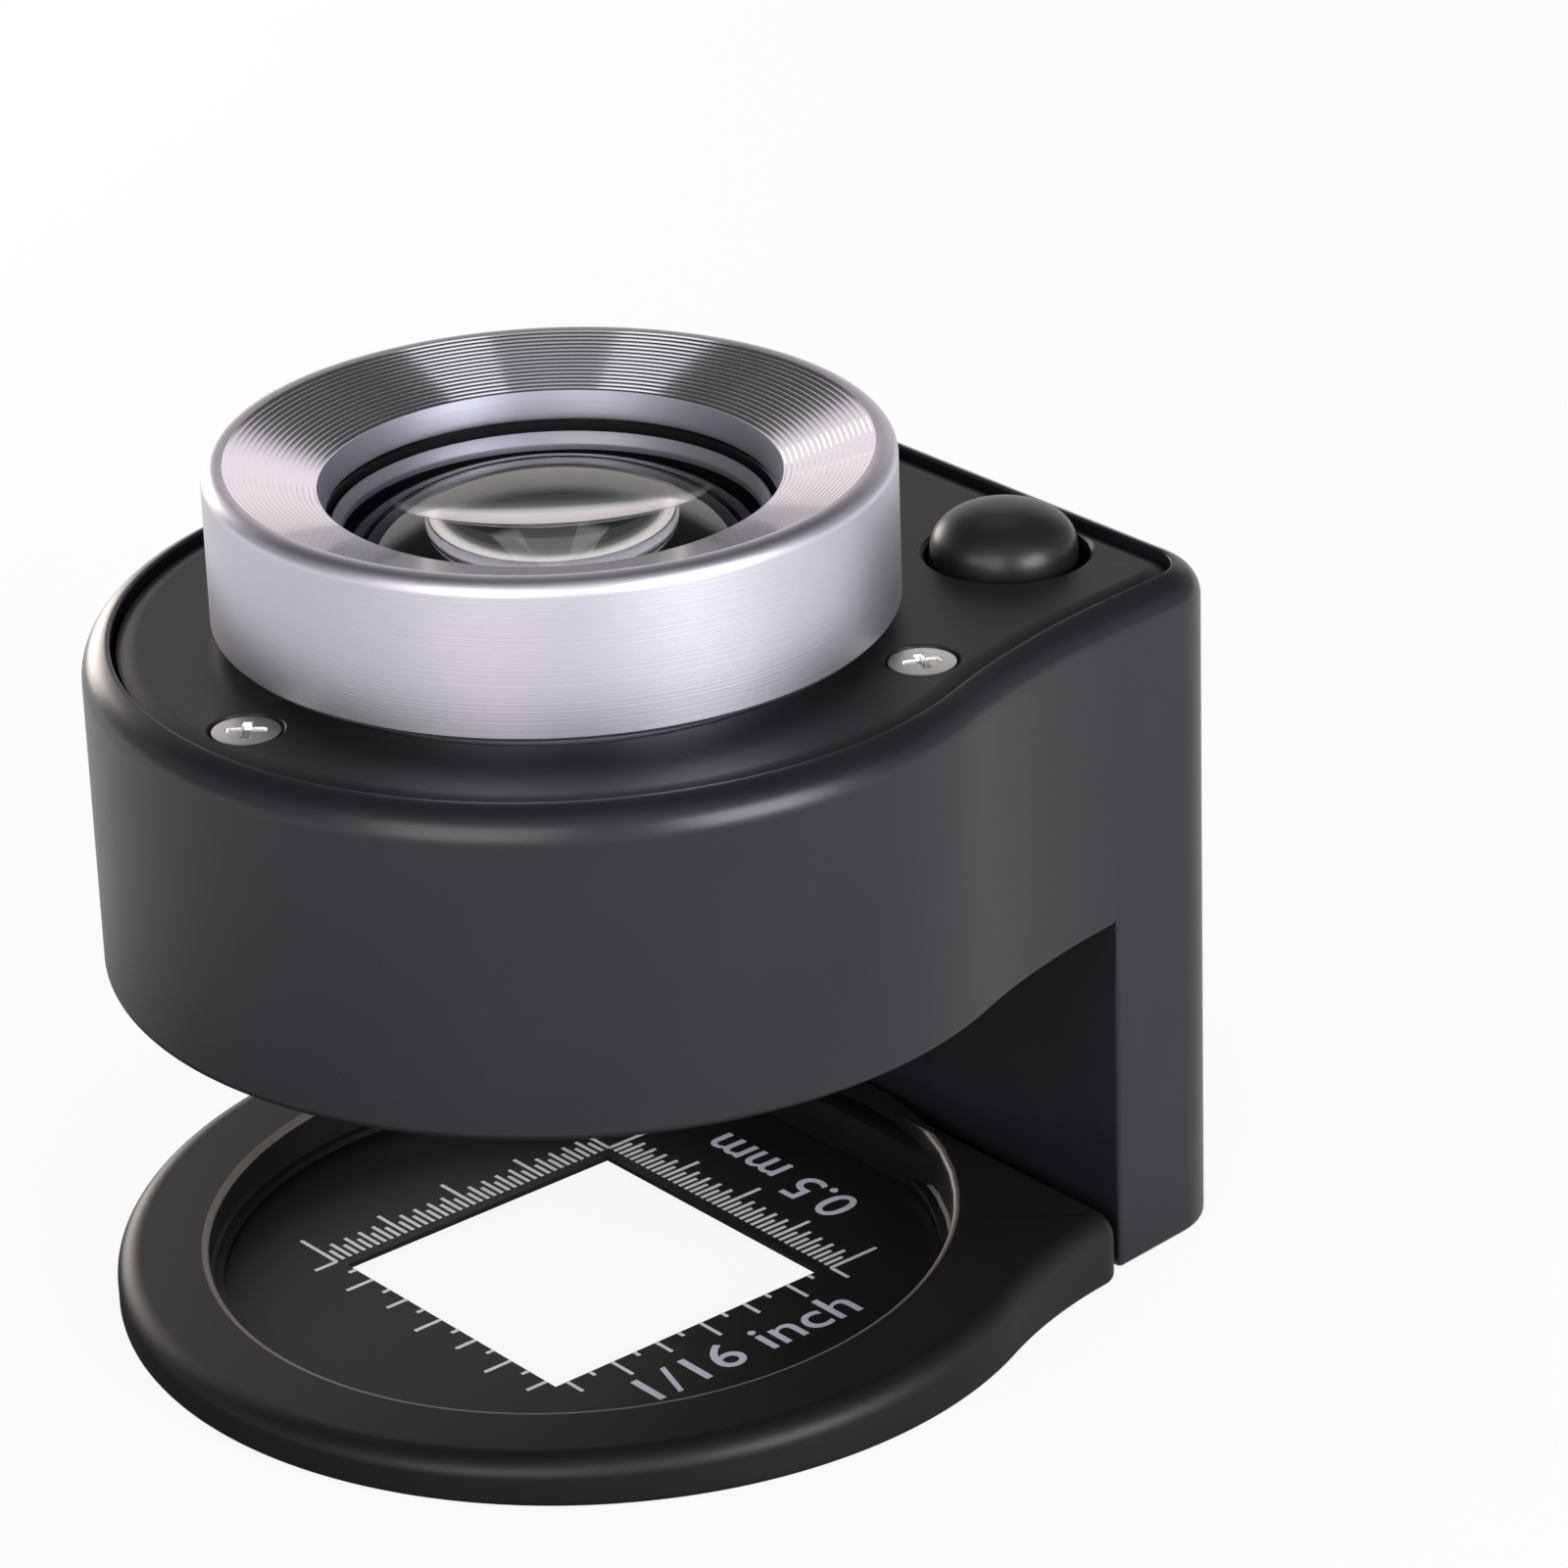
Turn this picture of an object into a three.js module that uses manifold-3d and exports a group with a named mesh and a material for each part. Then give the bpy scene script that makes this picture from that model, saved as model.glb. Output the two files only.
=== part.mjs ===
// Linen tester magnifier: a focusing eyepiece in a lit head, held by a rear leg
// over a flat base plate that carries a square scale window.
// Millimetres, +Z up, and the part stands on Z = 0. The dimensions below are measured
// from the optical axis: -Y is the round front, +Y is the leg. The last lines move the
// whole assembly along Y, so that its origin is the middle of its footprint.

import * as THREE from 'three';
import { mergeVertices } from 'three/addons/utils/BufferGeometryUtils.js';
import Module from 'manifold-3d';

const wasm = await Module();
wasm.setup();

// Clearance kept between neighbouring pieces.
const GAP = 0.3;
// Extra length that carries a cutting shape past the face it cuts.
const PAST = 1;
// Half the side of a block that is wider than the whole part.
const ALL = 40;
// How deep a joined shape starts inside the piece that it stands on.
const ROOTED = 0.5;

// Head and leg: one moulding, round at the front and square at the leg.
const HEAD = {
  radius: 25.95,
  sideX: 21.2,
  sideY: 21.5,
  taper: 0.1,
  waistRadius: 50,
  rearY: 31,
  cornerRadius: 4.2,
  bottom: 21.6,
  top: 40.55,
  topRound: 2.0,
  bottomRound: 0.5,
  wall: 1.65,
  floor: 2.0,
};
const LEG = { frontY: 21.5, top: 27.6, footRound: 0.4, coreBottom: 8, coreWall: 1.9 };
const CAVITY_BOTTOM = HEAD.bottom + HEAD.floor;

// Cover plate let into the top of the head.
const COVER = { top: 40.2, thickness: 1.6, edgeBevel: 0.4, sleeveHoleRadius: 16.9 };
const COVER_BOTTOM = COVER.top - COVER.thickness;
// A short groove that points from the barrel to the rear, as a mark to focus by.
const INDEX_GROOVE = { x: -1.9, halfWidth: 0.45, frontY: 18, rearY: 25.3, depth: 0.5 };

// Three countersunk screws hold the cover on posts inside the head.
const COVER_SCREW = {
  circleRadius: 20.95,
  angles: [-90, 30, 150],
  headRadius: 1.85,
  headDepth: 1.15,
  sunk: 0.05,
  shankRadius: 0.9,
  length: 7.5,
};
// The collar's ears lie between the cover and the tops of the posts.
const EAR_ROOM = 1.9;
const POST = { radius: 2.3, stepRadius: 3.0, holeRadius: 1.2, holeDepth: 8 };
const POST_TOP = COVER_BOTTOM - EAR_ROOM;
// What all the screws share: a short tapered tip, the edge of the head and the cross slot.
const SCREW = {
  tipRadius: 0.45,
  tipLength: 0.6,
  headEdge: 0.2,
  slotHalfLength: 1.05,
  slotHalfWidth: 0.22,
  slotDepth: 0.7,
};

// Base plate: a wedge that is thin at the front and thick at the leg.
const BASE = {
  radius: 26.7,
  sideX: 22.0,
  sideY: 21.0,
  taper: 0.1,
  waistRadius: 30,
  rearY: 21.05,
  cornerRadius: 1.5,
  heightOnAxis: 3.5,
  slope: 0.035,
  topRound: 1.2,
  bottomRound: 0.4,
};
// The well in the base is a wide bore over a narrow lip; the scale disc lies under the lip.
// Its centre is a little in front of the optical axis, so that a wall is left at the leg.
const WELL = {
  y: -0.45,
  radius: 21.1,
  lipTop: 1.1,
  lipRadius: 20.4,
  seatRadius: 21.2,
  seatTop: 0.7,
};
// The window lies a little off the middle of the disc, as printed.
const SCALE_DISC = {
  radius: 20.9,
  bottom: 0.1,
  top: 0.4,
  windowSide: 19.05,
  windowX: 0.5,
  windowY: -0.9,
};
// The base's tongue lies in a rebate in the foot of the leg and is screwed up into it.
const TONGUE = { halfWidth: 12, frontY: 19, rearY: 28.2, bottom: 0.3, top: 3.0 };
const BASE_SCREW = {
  x: [-7, 7],
  y: 25.2,
  headRadius: 1.9,
  headDepth: 1.1,
  sunk: 0.1,
  shankRadius: 0.9,
  length: 5.5,
};

// Focusing barrel: an aluminium ring with a conical mouth and a sleeve below the cover.
const BARREL = {
  radius: 18.8,
  bottom: 41.2,
  top: 50.25,
  topRound: 0.9,
  edgeBevel: 0.3,
  mouthRadius: 17.6,
  mouthEdgeDrop: 0.05,
  mouthDepth: 1.7,
  throatRadius: 12.6,
  lipRadius: 12.2,
  lipTop: 47.4,
  lipBottom: 47.05,
  boreRadius: 13.2,
  sleeveRadius: 16.3,
  sleeveBottom: 33,
  ringGrooveRadius: 14.0,
  ringGrooveTop: 36,
};
// Collar that the sleeve screws into, held between cover and posts by three ears.
const COLLAR = {
  innerRadius: 16.7,
  outerRadius: 17.8,
  flangeRadius: 19.4,
  bottom: 31,
  earRadius: 2.6,
};
const COLLAR_TOP = COVER_BOTTOM - GAP;
const COLLAR_FLANGE_BOTTOM = POST_TOP + GAP;

// Lens cell and what it holds.
const CELL = {
  radius: 12.9,
  bottom: 36,
  top: 46.75,
  upperBore: 12.3,
  shoulderTop: 43.6,
  shoulderBottom: 41.6,
  shoulderRadius: 11.0,
  lowerBore: 11.6,
};
const UPPER_LENS = { radius: 12.0, bottom: 43.9, edgeTop: 44.6, sag: 3.55 };
const LOWER_LENS = { radius: 11.3, edgeBottom: 37.5, edgeTop: 38.6, sag: 2.4 };
const SPACER = { innerRadius: 10.6, outerRadius: 11.3, bottom: 38.9, top: 41.3 };
const TOP_RING = {
  outerRadius: 12.0,
  crestRadius: 11.9,
  innerRadius: 11.5,
  bottom: 45.45,
  bevelTop: 46.4,
  bevelBottom: 45.75,
};
const LOWER_RING = { outerRadius: 11.3, innerRadius: 10.4, bottom: 36.05, top: 36.75 };
const CELL_RETAINER = { outerRadius: 13.7, innerRadius: 11.8, bottom: 34.4, top: 35.7 };

// Opening in the floor of the head that the light path passes through.
const FLOOR_OPENING_RADIUS = 12.5;

// Push button in the cover, over a switch on the circuit board.
const BUTTON = {
  x: 9.95,
  y: 23.75,
  radius: 4.15,
  domeHeight: 2.65,
  flangeRadius: 5.0,
  flangeBottom: 37.3,
  flangeTop: 38.3,
  stemRadius: 1.5,
  stemBottom: 34.0,
};
const BUTTON_HOLE = { x: 10.1, y: 23.85, radius: 4.65 };
const SWITCH = {
  side: 7,
  bottom: 29.5,
  floor: 0.4,
  top: 32.8,
  plungerRadius: 1.4,
  plungerBottom: 31.3,
  plungerTop: 33.7,
};

// Circuit board under the collar, resting on the steps of the three posts.
const BOARD = { bottom: 28.0, top: 29.2, inset: 2.3, holeRadius: 14 };
const LED = {
  x: 16.8,
  y: -3,
  radius: 1.5,
  flangeRadius: 1.9,
  flangeHeight: 0.8,
  tip: 22.0,
  holeRadius: 2.1,
};
const RESISTOR = { x: 2, y: 17.5, length: 3.2, width: 1.6, height: 0.6 };

// Three button cells stacked in a holder in the rear corner away from the push button.
const BATTERY = {
  x: -12.4,
  y: 22.6,
  radius: 5.8,
  height: 3.05,
  count: 3,
  bottom: 25.4,
  rimRadius: 4.9,
  rimHeight: 0.3,
};
const BATTERY_PITCH = BATTERY.height + GAP;
const BATTERY_TOP = BATTERY.bottom + BATTERY.count * BATTERY_PITCH - GAP;
const HOLDER = { wall: 0.8, bottom: 23.9, floor: 0.6, top: 33.6, slotEndX: 8 };
// The corner of the board behind this line is left out for the holder.
const BOARD_CORNER_FRONT = BATTERY.y - 4;
// Spring strips under and over the stack. Their reaches are counted from the cells' rim.
const CONTACT = {
  thickness: 0.3,
  width: 4,
  lift: 0.1,
  padRadius: 3.6,
  tabReach: 2.4,
  bendReach: 2.1,
  overlap: 3,
};

// Two short wires join the contacts to the board.
const WIRE_RADIUS = 0.45;
const WIRE_SIDES = 8;
const WIRE_STEPS = 6;
const BLACK_WIRE_ROUTE = [[-3.3, 22.6, 24.7], [-1.6, 22.8, 24.9], [-0.2, 23.4, 25.9], [0, 23.6, 27.6]];
const RED_WIRE_ROUTE = [[-3.6, 22.6, 34], [-1.6, 22.9, 33.6], [0.8, 23.5, 31.8], [1.2, 23.6, 29.6]];

const PLASTIC_BLACK = { color: 0x2b2b2e, roughness: 0.55, metalness: 0 };
const PRINTED_BLACK = { color: 0x1b1b1d, roughness: 0.45, metalness: 0 };
const ALUMINIUM = { color: 0xc9c8cf, roughness: 0.3, metalness: 1 };
const ANODISED_BLACK = { color: 0x17171a, roughness: 0.4, metalness: 0.6 };
const NICKEL = { color: 0xc4c2b8, roughness: 0.25, metalness: 1 };
const GLASS = { color: 0xe4ecec, roughness: 0.02, metalness: 0 };
const BOARD_GREEN = { color: 0x1f5a36, roughness: 0.5, metalness: 0 };
const BRASS = { color: 0xb08d4a, roughness: 0.35, metalness: 1 };
const RED_PLASTIC = { color: 0xa8221c, roughness: 0.5, metalness: 0 };
const WIRE_BLACK = { color: 0x151515, roughness: 0.5, metalness: 0 };
const LED_RESIN = { color: 0xf2f0d8, roughness: 0.15, metalness: 0 };

// How many sides a turned shape has.
const ROUND_STEPS = 44;
const LENS_STEPS = 36;
const MEDIUM_ROUND_STEPS = 28;
const SMALL_ROUND_STEPS = 14;
// Two corners nearer than this are one.
const MERGE_DISTANCE = 1e-4;

const radians = THREE.MathUtils.degToRad;

// Booleans

// A closed solid from a closed geometry: only positions, shared corners merged.
function solid(geometry) {
  const bare = geometry.clone();
  bare.deleteAttribute('normal');
  bare.deleteAttribute('uv');
  const merged = mergeVertices(bare, MERGE_DISTANCE);
  const corners = merged.index.array;
  const triangles = [];
  for (let i = 0; i < corners.length; i += 3) {
    const [a, b, c] = [corners[i], corners[i + 1], corners[i + 2]];
    if (a !== b && b !== c && c !== a) triangles.push(a, b, c);
  }
  return new wasm.Manifold(
    new wasm.Mesh({
      numProp: 3,
      vertProperties: new Float32Array(merged.attributes.position.array),
      triVerts: new Uint32Array(triangles),
    }),
  );
}

function cut(body, ...tools) {
  return tools.reduce((rest, tool) => rest.subtract(tool), body);
}

function join(body, ...others) {
  return others.reduce((sum, other) => sum.add(other), body);
}

function geometryOf(body) {
  const mesh = body.getMesh();
  const geometry = new THREE.BufferGeometry();
  geometry.setAttribute('position', new THREE.BufferAttribute(mesh.vertProperties, 3));
  geometry.setIndex(new THREE.BufferAttribute(mesh.triVerts, 1));
  const faceted = geometry.toNonIndexed();
  faceted.computeVertexNormals();
  return faceted;
}

// The same solid after its geometry has been moved or bent.
function changed(body, change) {
  const geometry = geometryOf(body);
  change(geometry);
  return solid(geometry);
}

// Basic shapes

// Points along an arc, angles in degrees, both ends included.
function arc(centreX, centreY, radius, from, to, steps) {
  return Array.from({ length: steps + 1 }, (_, i) => {
    const angle = radians(from + ((to - from) * i) / steps);
    return new THREE.Vector2(centreX + radius * Math.cos(angle), centreY + radius * Math.sin(angle));
  });
}

function onCircle(radius, degrees) {
  return [radius * Math.cos(radians(degrees)), radius * Math.sin(radians(degrees))];
}

// Where a turned shape stands, and how many sides it has.
function at(x, y, steps = SMALL_ROUND_STEPS) {
  return { x, y, steps };
}

// A solid of revolution about Z through (x, y). The profile holds [radius, z] pairs,
// counter-clockwise with the radius to the right, and closes on itself or on the axis.
function turned(profile, { x = 0, y = 0, steps = ROUND_STEPS } = {}) {
  const points = profile.map(([radius, z]) => new THREE.Vector2(radius, z));
  const onAxis = points[0].x === 0 && points[points.length - 1].x === 0;
  if (!onAxis) points.push(points[0].clone());
  const geometry = new THREE.LatheGeometry(points, steps);
  geometry.rotateX(Math.PI / 2);
  geometry.translate(x, y, 0);
  return solid(geometry);
}

function disc(radius, bottom, top, place) {
  return turned([[0, bottom], [radius, bottom], [radius, top], [0, top]], place);
}

function tube(inner, outer, bottom, top, place) {
  return turned([[inner, bottom], [outer, bottom], [outer, top], [inner, top]], place);
}

function block(minX, maxX, minY, maxY, bottom, top) {
  const geometry = new THREE.BoxGeometry(maxX - minX, maxY - minY, top - bottom);
  geometry.translate((minX + maxX) / 2, (minY + maxY) / 2, (bottom + top) / 2);
  return solid(geometry);
}

// An outline pulled up from bottom to top, its edges bevelled inwards by round.
function pulled(outline, bottom, top, round, roundSteps = 3) {
  const geometry = new THREE.ExtrudeGeometry(new THREE.Shape(outline), {
    depth: top - bottom - 2 * round,
    steps: 1,
    bevelEnabled: round > 0,
    bevelThickness: round,
    bevelSize: round,
    bevelOffset: -round,
    bevelSegments: roundSteps,
  });
  geometry.translate(0, 0, bottom + round);
  return solid(geometry);
}

// As pulled, with a different round at each end: two overlapping halves of one outline.
function pulledTwoRounds(outline, bottom, top, bottomRound, topRound) {
  const middle = (bottom + top) / 2;
  const overlap = Math.max(bottomRound, topRound);
  const lower = pulled(outline, bottom, middle + overlap, bottomRound, 1);
  const upper = pulled(outline, middle - overlap, top, topRound);
  return join(lower, upper);
}

// The keyhole outline shared by head, cover, board and base, drawn inset from its
// largest size: a front circle, a hollow waist, a straight tapering side, a rounded
// rear corner, and the same mirrored.
function keyhole(size, inset = 0) {
  const radius = size.radius - inset;
  const waistRadius = size.waistRadius + inset;
  const cornerRadius = Math.max(size.cornerRadius - inset, 0.4);
  const rearY = size.rearY - inset;
  const length = Math.hypot(1, size.taper);
  const normal = new THREE.Vector2(1 / length, size.taper / length);
  const sideDistance = normal.x * size.sideX + normal.y * size.sideY - inset;
  const reach = sideDistance + waistRadius;
  const drop = Math.sqrt((radius + waistRadius) ** 2 - reach ** 2);
  const waist = new THREE.Vector2(
    normal.x * reach - normal.y * drop,
    normal.y * reach + normal.x * drop,
  );
  const waistAngle = THREE.MathUtils.radToDeg(waist.angle());
  const normalAngle = THREE.MathUtils.radToDeg(normal.angle());
  const cornerY = rearY - cornerRadius;
  const cornerX = (sideDistance - cornerRadius - normal.y * cornerY) / normal.x;
  const right = [
    ...arc(0, 0, radius, -90, waistAngle, 14),
    ...arc(waist.x, waist.y, waistRadius, 180 + waistAngle, 180 + normalAngle, 3).slice(1),
    ...arc(cornerX, cornerY, cornerRadius, normalAngle, 90, 4),
  ];
  const left = right.slice(1).reverse().map((point) => new THREE.Vector2(-point.x, point.y));
  return [...right, ...left];
}

// The profile of a cone-headed screw that points down.
function screwProfile({ headRadius, headDepth, shankRadius, length }, top) {
  return [
    [0, top - length],
    [SCREW.tipRadius, top - length],
    [shankRadius, top - length + SCREW.tipLength],
    [shankRadius, top - headDepth],
    [headRadius, top - SCREW.headEdge],
    [headRadius, top],
    [0, top],
  ];
}

function crossSlot(x, y, top) {
  const long = SCREW.slotHalfLength;
  const short = SCREW.slotHalfWidth;
  const bottom = top - SCREW.slotDepth;
  const along = block(x - long, x + long, y - short, y + short, bottom, top + PAST);
  const across = block(x - short, x + short, y - long, y + long, bottom, top + PAST);
  return join(along, across);
}

// A shape drawn pointing down from z = 0 at -y, turned to point up from the given height at y.
function turnedUp(body, height) {
  return changed(body, (geometry) => geometry.rotateX(Math.PI).translate(0, 0, height));
}

// The clearance a countersunk screw needs in the plate it holds.
function countersink({ headRadius, headDepth, shankRadius, length }, top, x, y) {
  return turned([
    [0, top - length - PAST],
    [shankRadius + GAP, top - length - PAST],
    [shankRadius + GAP, top - headDepth - GAP],
    [headRadius + GAP, top - SCREW.headEdge],
    [headRadius + GAP, top + PAST],
    [0, top + PAST],
  ], at(x, y));
}

// Housing

function housingShell() {
  const outline = keyhole(HEAD);
  const head = pulledTwoRounds(outline, HEAD.bottom, HEAD.top, HEAD.bottomRound, HEAD.topRound);
  const column = pulledTwoRounds(outline, 0, LEG.top, LEG.footRound, HEAD.topRound);
  const behindLegFront = block(-ALL, ALL, LEG.frontY, ALL, -PAST, HEAD.top);
  const leg = column.intersect(behindLegFront);
  const cavity = pulled(keyhole(HEAD, HEAD.wall), CAVITY_BOTTOM, HEAD.top + PAST, 0);
  const legCore = pulled(keyhole(HEAD, LEG.coreWall), LEG.coreBottom, HEAD.top, 0)
    .intersect(block(-ALL, ALL, LEG.frontY + LEG.coreWall, ALL, 0, CAVITY_BOTTOM + PAST));
  const rebate = block(
    -TONGUE.halfWidth - GAP, TONGUE.halfWidth + GAP,
    LEG.frontY - PAST, TONGUE.rearY + GAP,
    -PAST, TONGUE.top + GAP,
  );
  const baseScrewHoles = BASE_SCREW.x.map((x) =>
    disc(BASE_SCREW.shankRadius + GAP, 0, BASE_SCREW.length + PAST, at(x, BASE_SCREW.y)));
  const floorBottom = HEAD.bottom - PAST;
  const floorTop = CAVITY_BOTTOM + PAST;
  const floorOpening = disc(FLOOR_OPENING_RADIUS, floorBottom, floorTop);
  const ledHoles = [-1, 1].map((side) =>
    disc(LED.holeRadius, floorBottom, floorTop, at(side * LED.x, LED.y)));
  const holes = [cavity, legCore, rebate, ...baseScrewHoles, floorOpening, ...ledHoles];
  const hollowed = cut(join(head, leg), ...holes);
  const insideOfWall = pulled(keyhole(HEAD, HEAD.wall - ROOTED / 2), CAVITY_BOTTOM - ROOTED, HEAD.top, 0);
  const posts = COVER_SCREW.angles.map((angle) => screwPost(angle).intersect(insideOfWall));
  return join(hollowed, ...posts);
}

// A post for one cover screw, its lower part wider to carry the circuit board.
function screwPost(angle) {
  const [x, y] = onCircle(COVER_SCREW.circleRadius, angle);
  const place = at(x, y);
  const post = disc(POST.radius, CAVITY_BOTTOM - ROOTED, POST_TOP, place);
  const step = disc(POST.stepRadius, CAVITY_BOTTOM - ROOTED, BOARD.bottom - GAP, place);
  const hole = disc(POST.holeRadius, POST_TOP - POST.holeDepth, POST_TOP + PAST, place);
  return cut(join(post, step), hole);
}

function topCover() {
  const outline = keyhole(HEAD, HEAD.wall + GAP);
  const slab = pulled(outline, COVER_BOTTOM - PAST, COVER.top, COVER.edgeBevel, 1);
  const trimmed = slab.intersect(block(-ALL, ALL, -ALL, ALL, COVER_BOTTOM, COVER.top + PAST));
  const sleeveHole = disc(COVER.sleeveHoleRadius, COVER_BOTTOM - PAST, COVER.top + PAST);
  const buttonPlace = at(BUTTON_HOLE.x, BUTTON_HOLE.y, MEDIUM_ROUND_STEPS);
  const buttonHole = disc(BUTTON_HOLE.radius, COVER_BOTTOM - PAST, COVER.top + PAST, buttonPlace);
  const countersinks = COVER_SCREW.angles.map((angle) => {
    const [x, y] = onCircle(COVER_SCREW.circleRadius, angle);
    return countersink(COVER_SCREW, COVER.top - COVER_SCREW.sunk, x, y);
  });
  const groove = block(
    INDEX_GROOVE.x - INDEX_GROOVE.halfWidth, INDEX_GROOVE.x + INDEX_GROOVE.halfWidth,
    INDEX_GROOVE.frontY, INDEX_GROOVE.rearY,
    COVER.top - INDEX_GROOVE.depth, COVER.top + PAST,
  );
  return cut(trimmed, sleeveHole, buttonHole, groove, ...countersinks);
}

function coverScrew(angle) {
  const [x, y] = onCircle(COVER_SCREW.circleRadius, angle);
  const top = COVER.top - COVER_SCREW.sunk;
  const body = turned(screwProfile(COVER_SCREW, top), at(x, y));
  return cut(body, crossSlot(x, y, top));
}

// Base

function basePlate() {
  const flat = pulledTwoRounds(keyhole(BASE), 0, BASE.heightOnAxis, BASE.bottomRound, BASE.topRound);
  // Height grows in a straight line towards the leg, so the underside stays flat.
  const wedge = changed(flat, (geometry) => {
    const corners = geometry.attributes.position;
    for (let i = 0; i < corners.count; i += 1) {
      const growth = 1 + (BASE.slope * corners.getY(i)) / BASE.heightOnAxis;
      corners.setZ(i, corners.getZ(i) * growth);
    }
  });
  const tongue = block(
    -TONGUE.halfWidth, TONGUE.halfWidth,
    TONGUE.frontY, TONGUE.rearY,
    TONGUE.bottom, TONGUE.top,
  );
  const above = 2 * BASE.heightOnAxis;
  const place = { y: WELL.y };
  const well = disc(WELL.radius, WELL.lipTop, above, place);
  const lip = disc(WELL.lipRadius, 0, above, place);
  const seat = disc(WELL.seatRadius, -PAST, WELL.seatTop, place);
  const screwSeats = BASE_SCREW.x.map((x) =>
    turnedUp(countersink(BASE_SCREW, 0, x, -BASE_SCREW.y), TONGUE.bottom + BASE_SCREW.sunk));
  return cut(join(wedge, tongue), well, lip, seat, ...screwSeats);
}

function baseScrew(x) {
  const body = turned(screwProfile(BASE_SCREW, 0), at(x, -BASE_SCREW.y));
  const slotted = cut(body, crossSlot(x, -BASE_SCREW.y, 0));
  return turnedUp(slotted, TONGUE.bottom + BASE_SCREW.sunk);
}

function scaleDisc() {
  const half = SCALE_DISC.windowSide / 2;
  const plate = disc(SCALE_DISC.radius, SCALE_DISC.bottom, SCALE_DISC.top, { y: WELL.y });
  const window = block(
    SCALE_DISC.windowX - half, SCALE_DISC.windowX + half,
    SCALE_DISC.windowY - half, SCALE_DISC.windowY + half,
    SCALE_DISC.bottom - PAST, SCALE_DISC.top + PAST,
  );
  return cut(plate, window);
}

// Barrel

function focusBarrel() {
  const { radius, top, topRound } = BARREL;
  const rim = arc(radius - topRound, top - topRound, topRound, 0, 80, 3);
  return turned([
    [BARREL.boreRadius, BARREL.ringGrooveTop],
    [BARREL.ringGrooveRadius, BARREL.ringGrooveTop],
    [BARREL.ringGrooveRadius, BARREL.sleeveBottom],
    [BARREL.sleeveRadius, BARREL.sleeveBottom],
    [BARREL.sleeveRadius, BARREL.bottom],
    [radius - BARREL.edgeBevel, BARREL.bottom],
    [radius, BARREL.bottom + BARREL.edgeBevel],
    ...rim.map((point) => [point.x, point.y]),
    [BARREL.mouthRadius, top - BARREL.mouthEdgeDrop],
    [BARREL.throatRadius, top - BARREL.mouthDepth],
    [BARREL.lipRadius, BARREL.lipTop],
    [BARREL.lipRadius, BARREL.lipBottom],
    [BARREL.boreRadius, BARREL.lipBottom],
  ]);
}

function threadedCollar() {
  const sleeve = tube(COLLAR.innerRadius, COLLAR.outerRadius, COLLAR.bottom, COLLAR_TOP);
  const flange = tube(COLLAR.innerRadius, COLLAR.flangeRadius, COLLAR_FLANGE_BOTTOM, COLLAR_TOP);
  const ears = COVER_SCREW.angles.map((angle) => {
    const [x, y] = onCircle(COVER_SCREW.circleRadius, angle);
    return disc(COLLAR.earRadius, COLLAR_FLANGE_BOTTOM, COLLAR_TOP, at(x, y));
  });
  const earHoles = COVER_SCREW.angles.map((angle) => {
    const [x, y] = onCircle(COVER_SCREW.circleRadius, angle);
    return disc(POST.holeRadius, POST_TOP, COVER_BOTTOM, at(x, y));
  });
  return cut(join(sleeve, flange, ...ears), ...earHoles);
}

function lensCell() {
  return turned([
    [CELL.lowerBore, CELL.bottom],
    [CELL.radius, CELL.bottom],
    [CELL.radius, CELL.top],
    [CELL.upperBore, CELL.top],
    [CELL.upperBore, CELL.shoulderTop],
    [CELL.shoulderRadius, CELL.shoulderTop],
    [CELL.shoulderRadius, CELL.shoulderBottom],
    [CELL.lowerBore, CELL.shoulderBottom],
  ]);
}

// A radius, or exactly 0 where an arc meets the axis.
function fromAxis(x) {
  return x < MERGE_DISTANCE ? 0 : x;
}

// Radius of the sphere whose cap has this rim radius and height.
function capRadius(rim, height) {
  return (rim * rim + height * height) / (2 * height);
}

// Points of a spherical cap from its rim to the axis, as [radius, z].
function capProfile(rim, edgeZ, height, direction, steps) {
  const sphere = capRadius(rim, height);
  const rimAngle = THREE.MathUtils.radToDeg(Math.asin(rim / sphere));
  return arc(0, 0, sphere, 90 - rimAngle, 90, steps).map((point) => [
    fromAxis(point.x),
    edgeZ + direction * (point.y - (sphere - height)),
  ]);
}

function upperLens() {
  const { radius, bottom, edgeTop, sag } = UPPER_LENS;
  const dome = capProfile(radius, edgeTop, sag, 1, 6);
  return turned([[0, bottom], [radius, bottom], ...dome], { steps: LENS_STEPS });
}

function lowerLens() {
  const { radius, edgeBottom, edgeTop, sag } = LOWER_LENS;
  const below = capProfile(radius, edgeBottom, sag, -1, 4).reverse();
  return turned([...below, [radius, edgeTop], [0, edgeTop]], { steps: LENS_STEPS });
}

function topRing() {
  const { outerRadius, crestRadius, innerRadius, bottom, bevelTop, bevelBottom } = TOP_RING;
  return turned([
    [innerRadius, bottom],
    [outerRadius, bottom],
    [outerRadius, bevelTop],
    [crestRadius, bevelTop],
    [innerRadius, bevelBottom],
  ]);
}

// Button and switch

function buttonCap() {
  const dome = arc(0, 0, 1, 0, 90, 4).map((point) => [
    BUTTON.radius * fromAxis(point.x),
    COVER.top + BUTTON.domeHeight * point.y,
  ]);
  return turned([
    [0, BUTTON.stemBottom],
    [BUTTON.stemRadius, BUTTON.stemBottom],
    [BUTTON.stemRadius, BUTTON.flangeBottom],
    [BUTTON.flangeRadius, BUTTON.flangeBottom],
    [BUTTON.flangeRadius, BUTTON.flangeTop],
    [BUTTON.radius, BUTTON.flangeTop],
    ...dome,
  ], at(BUTTON.x, BUTTON.y, MEDIUM_ROUND_STEPS));
}

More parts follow.
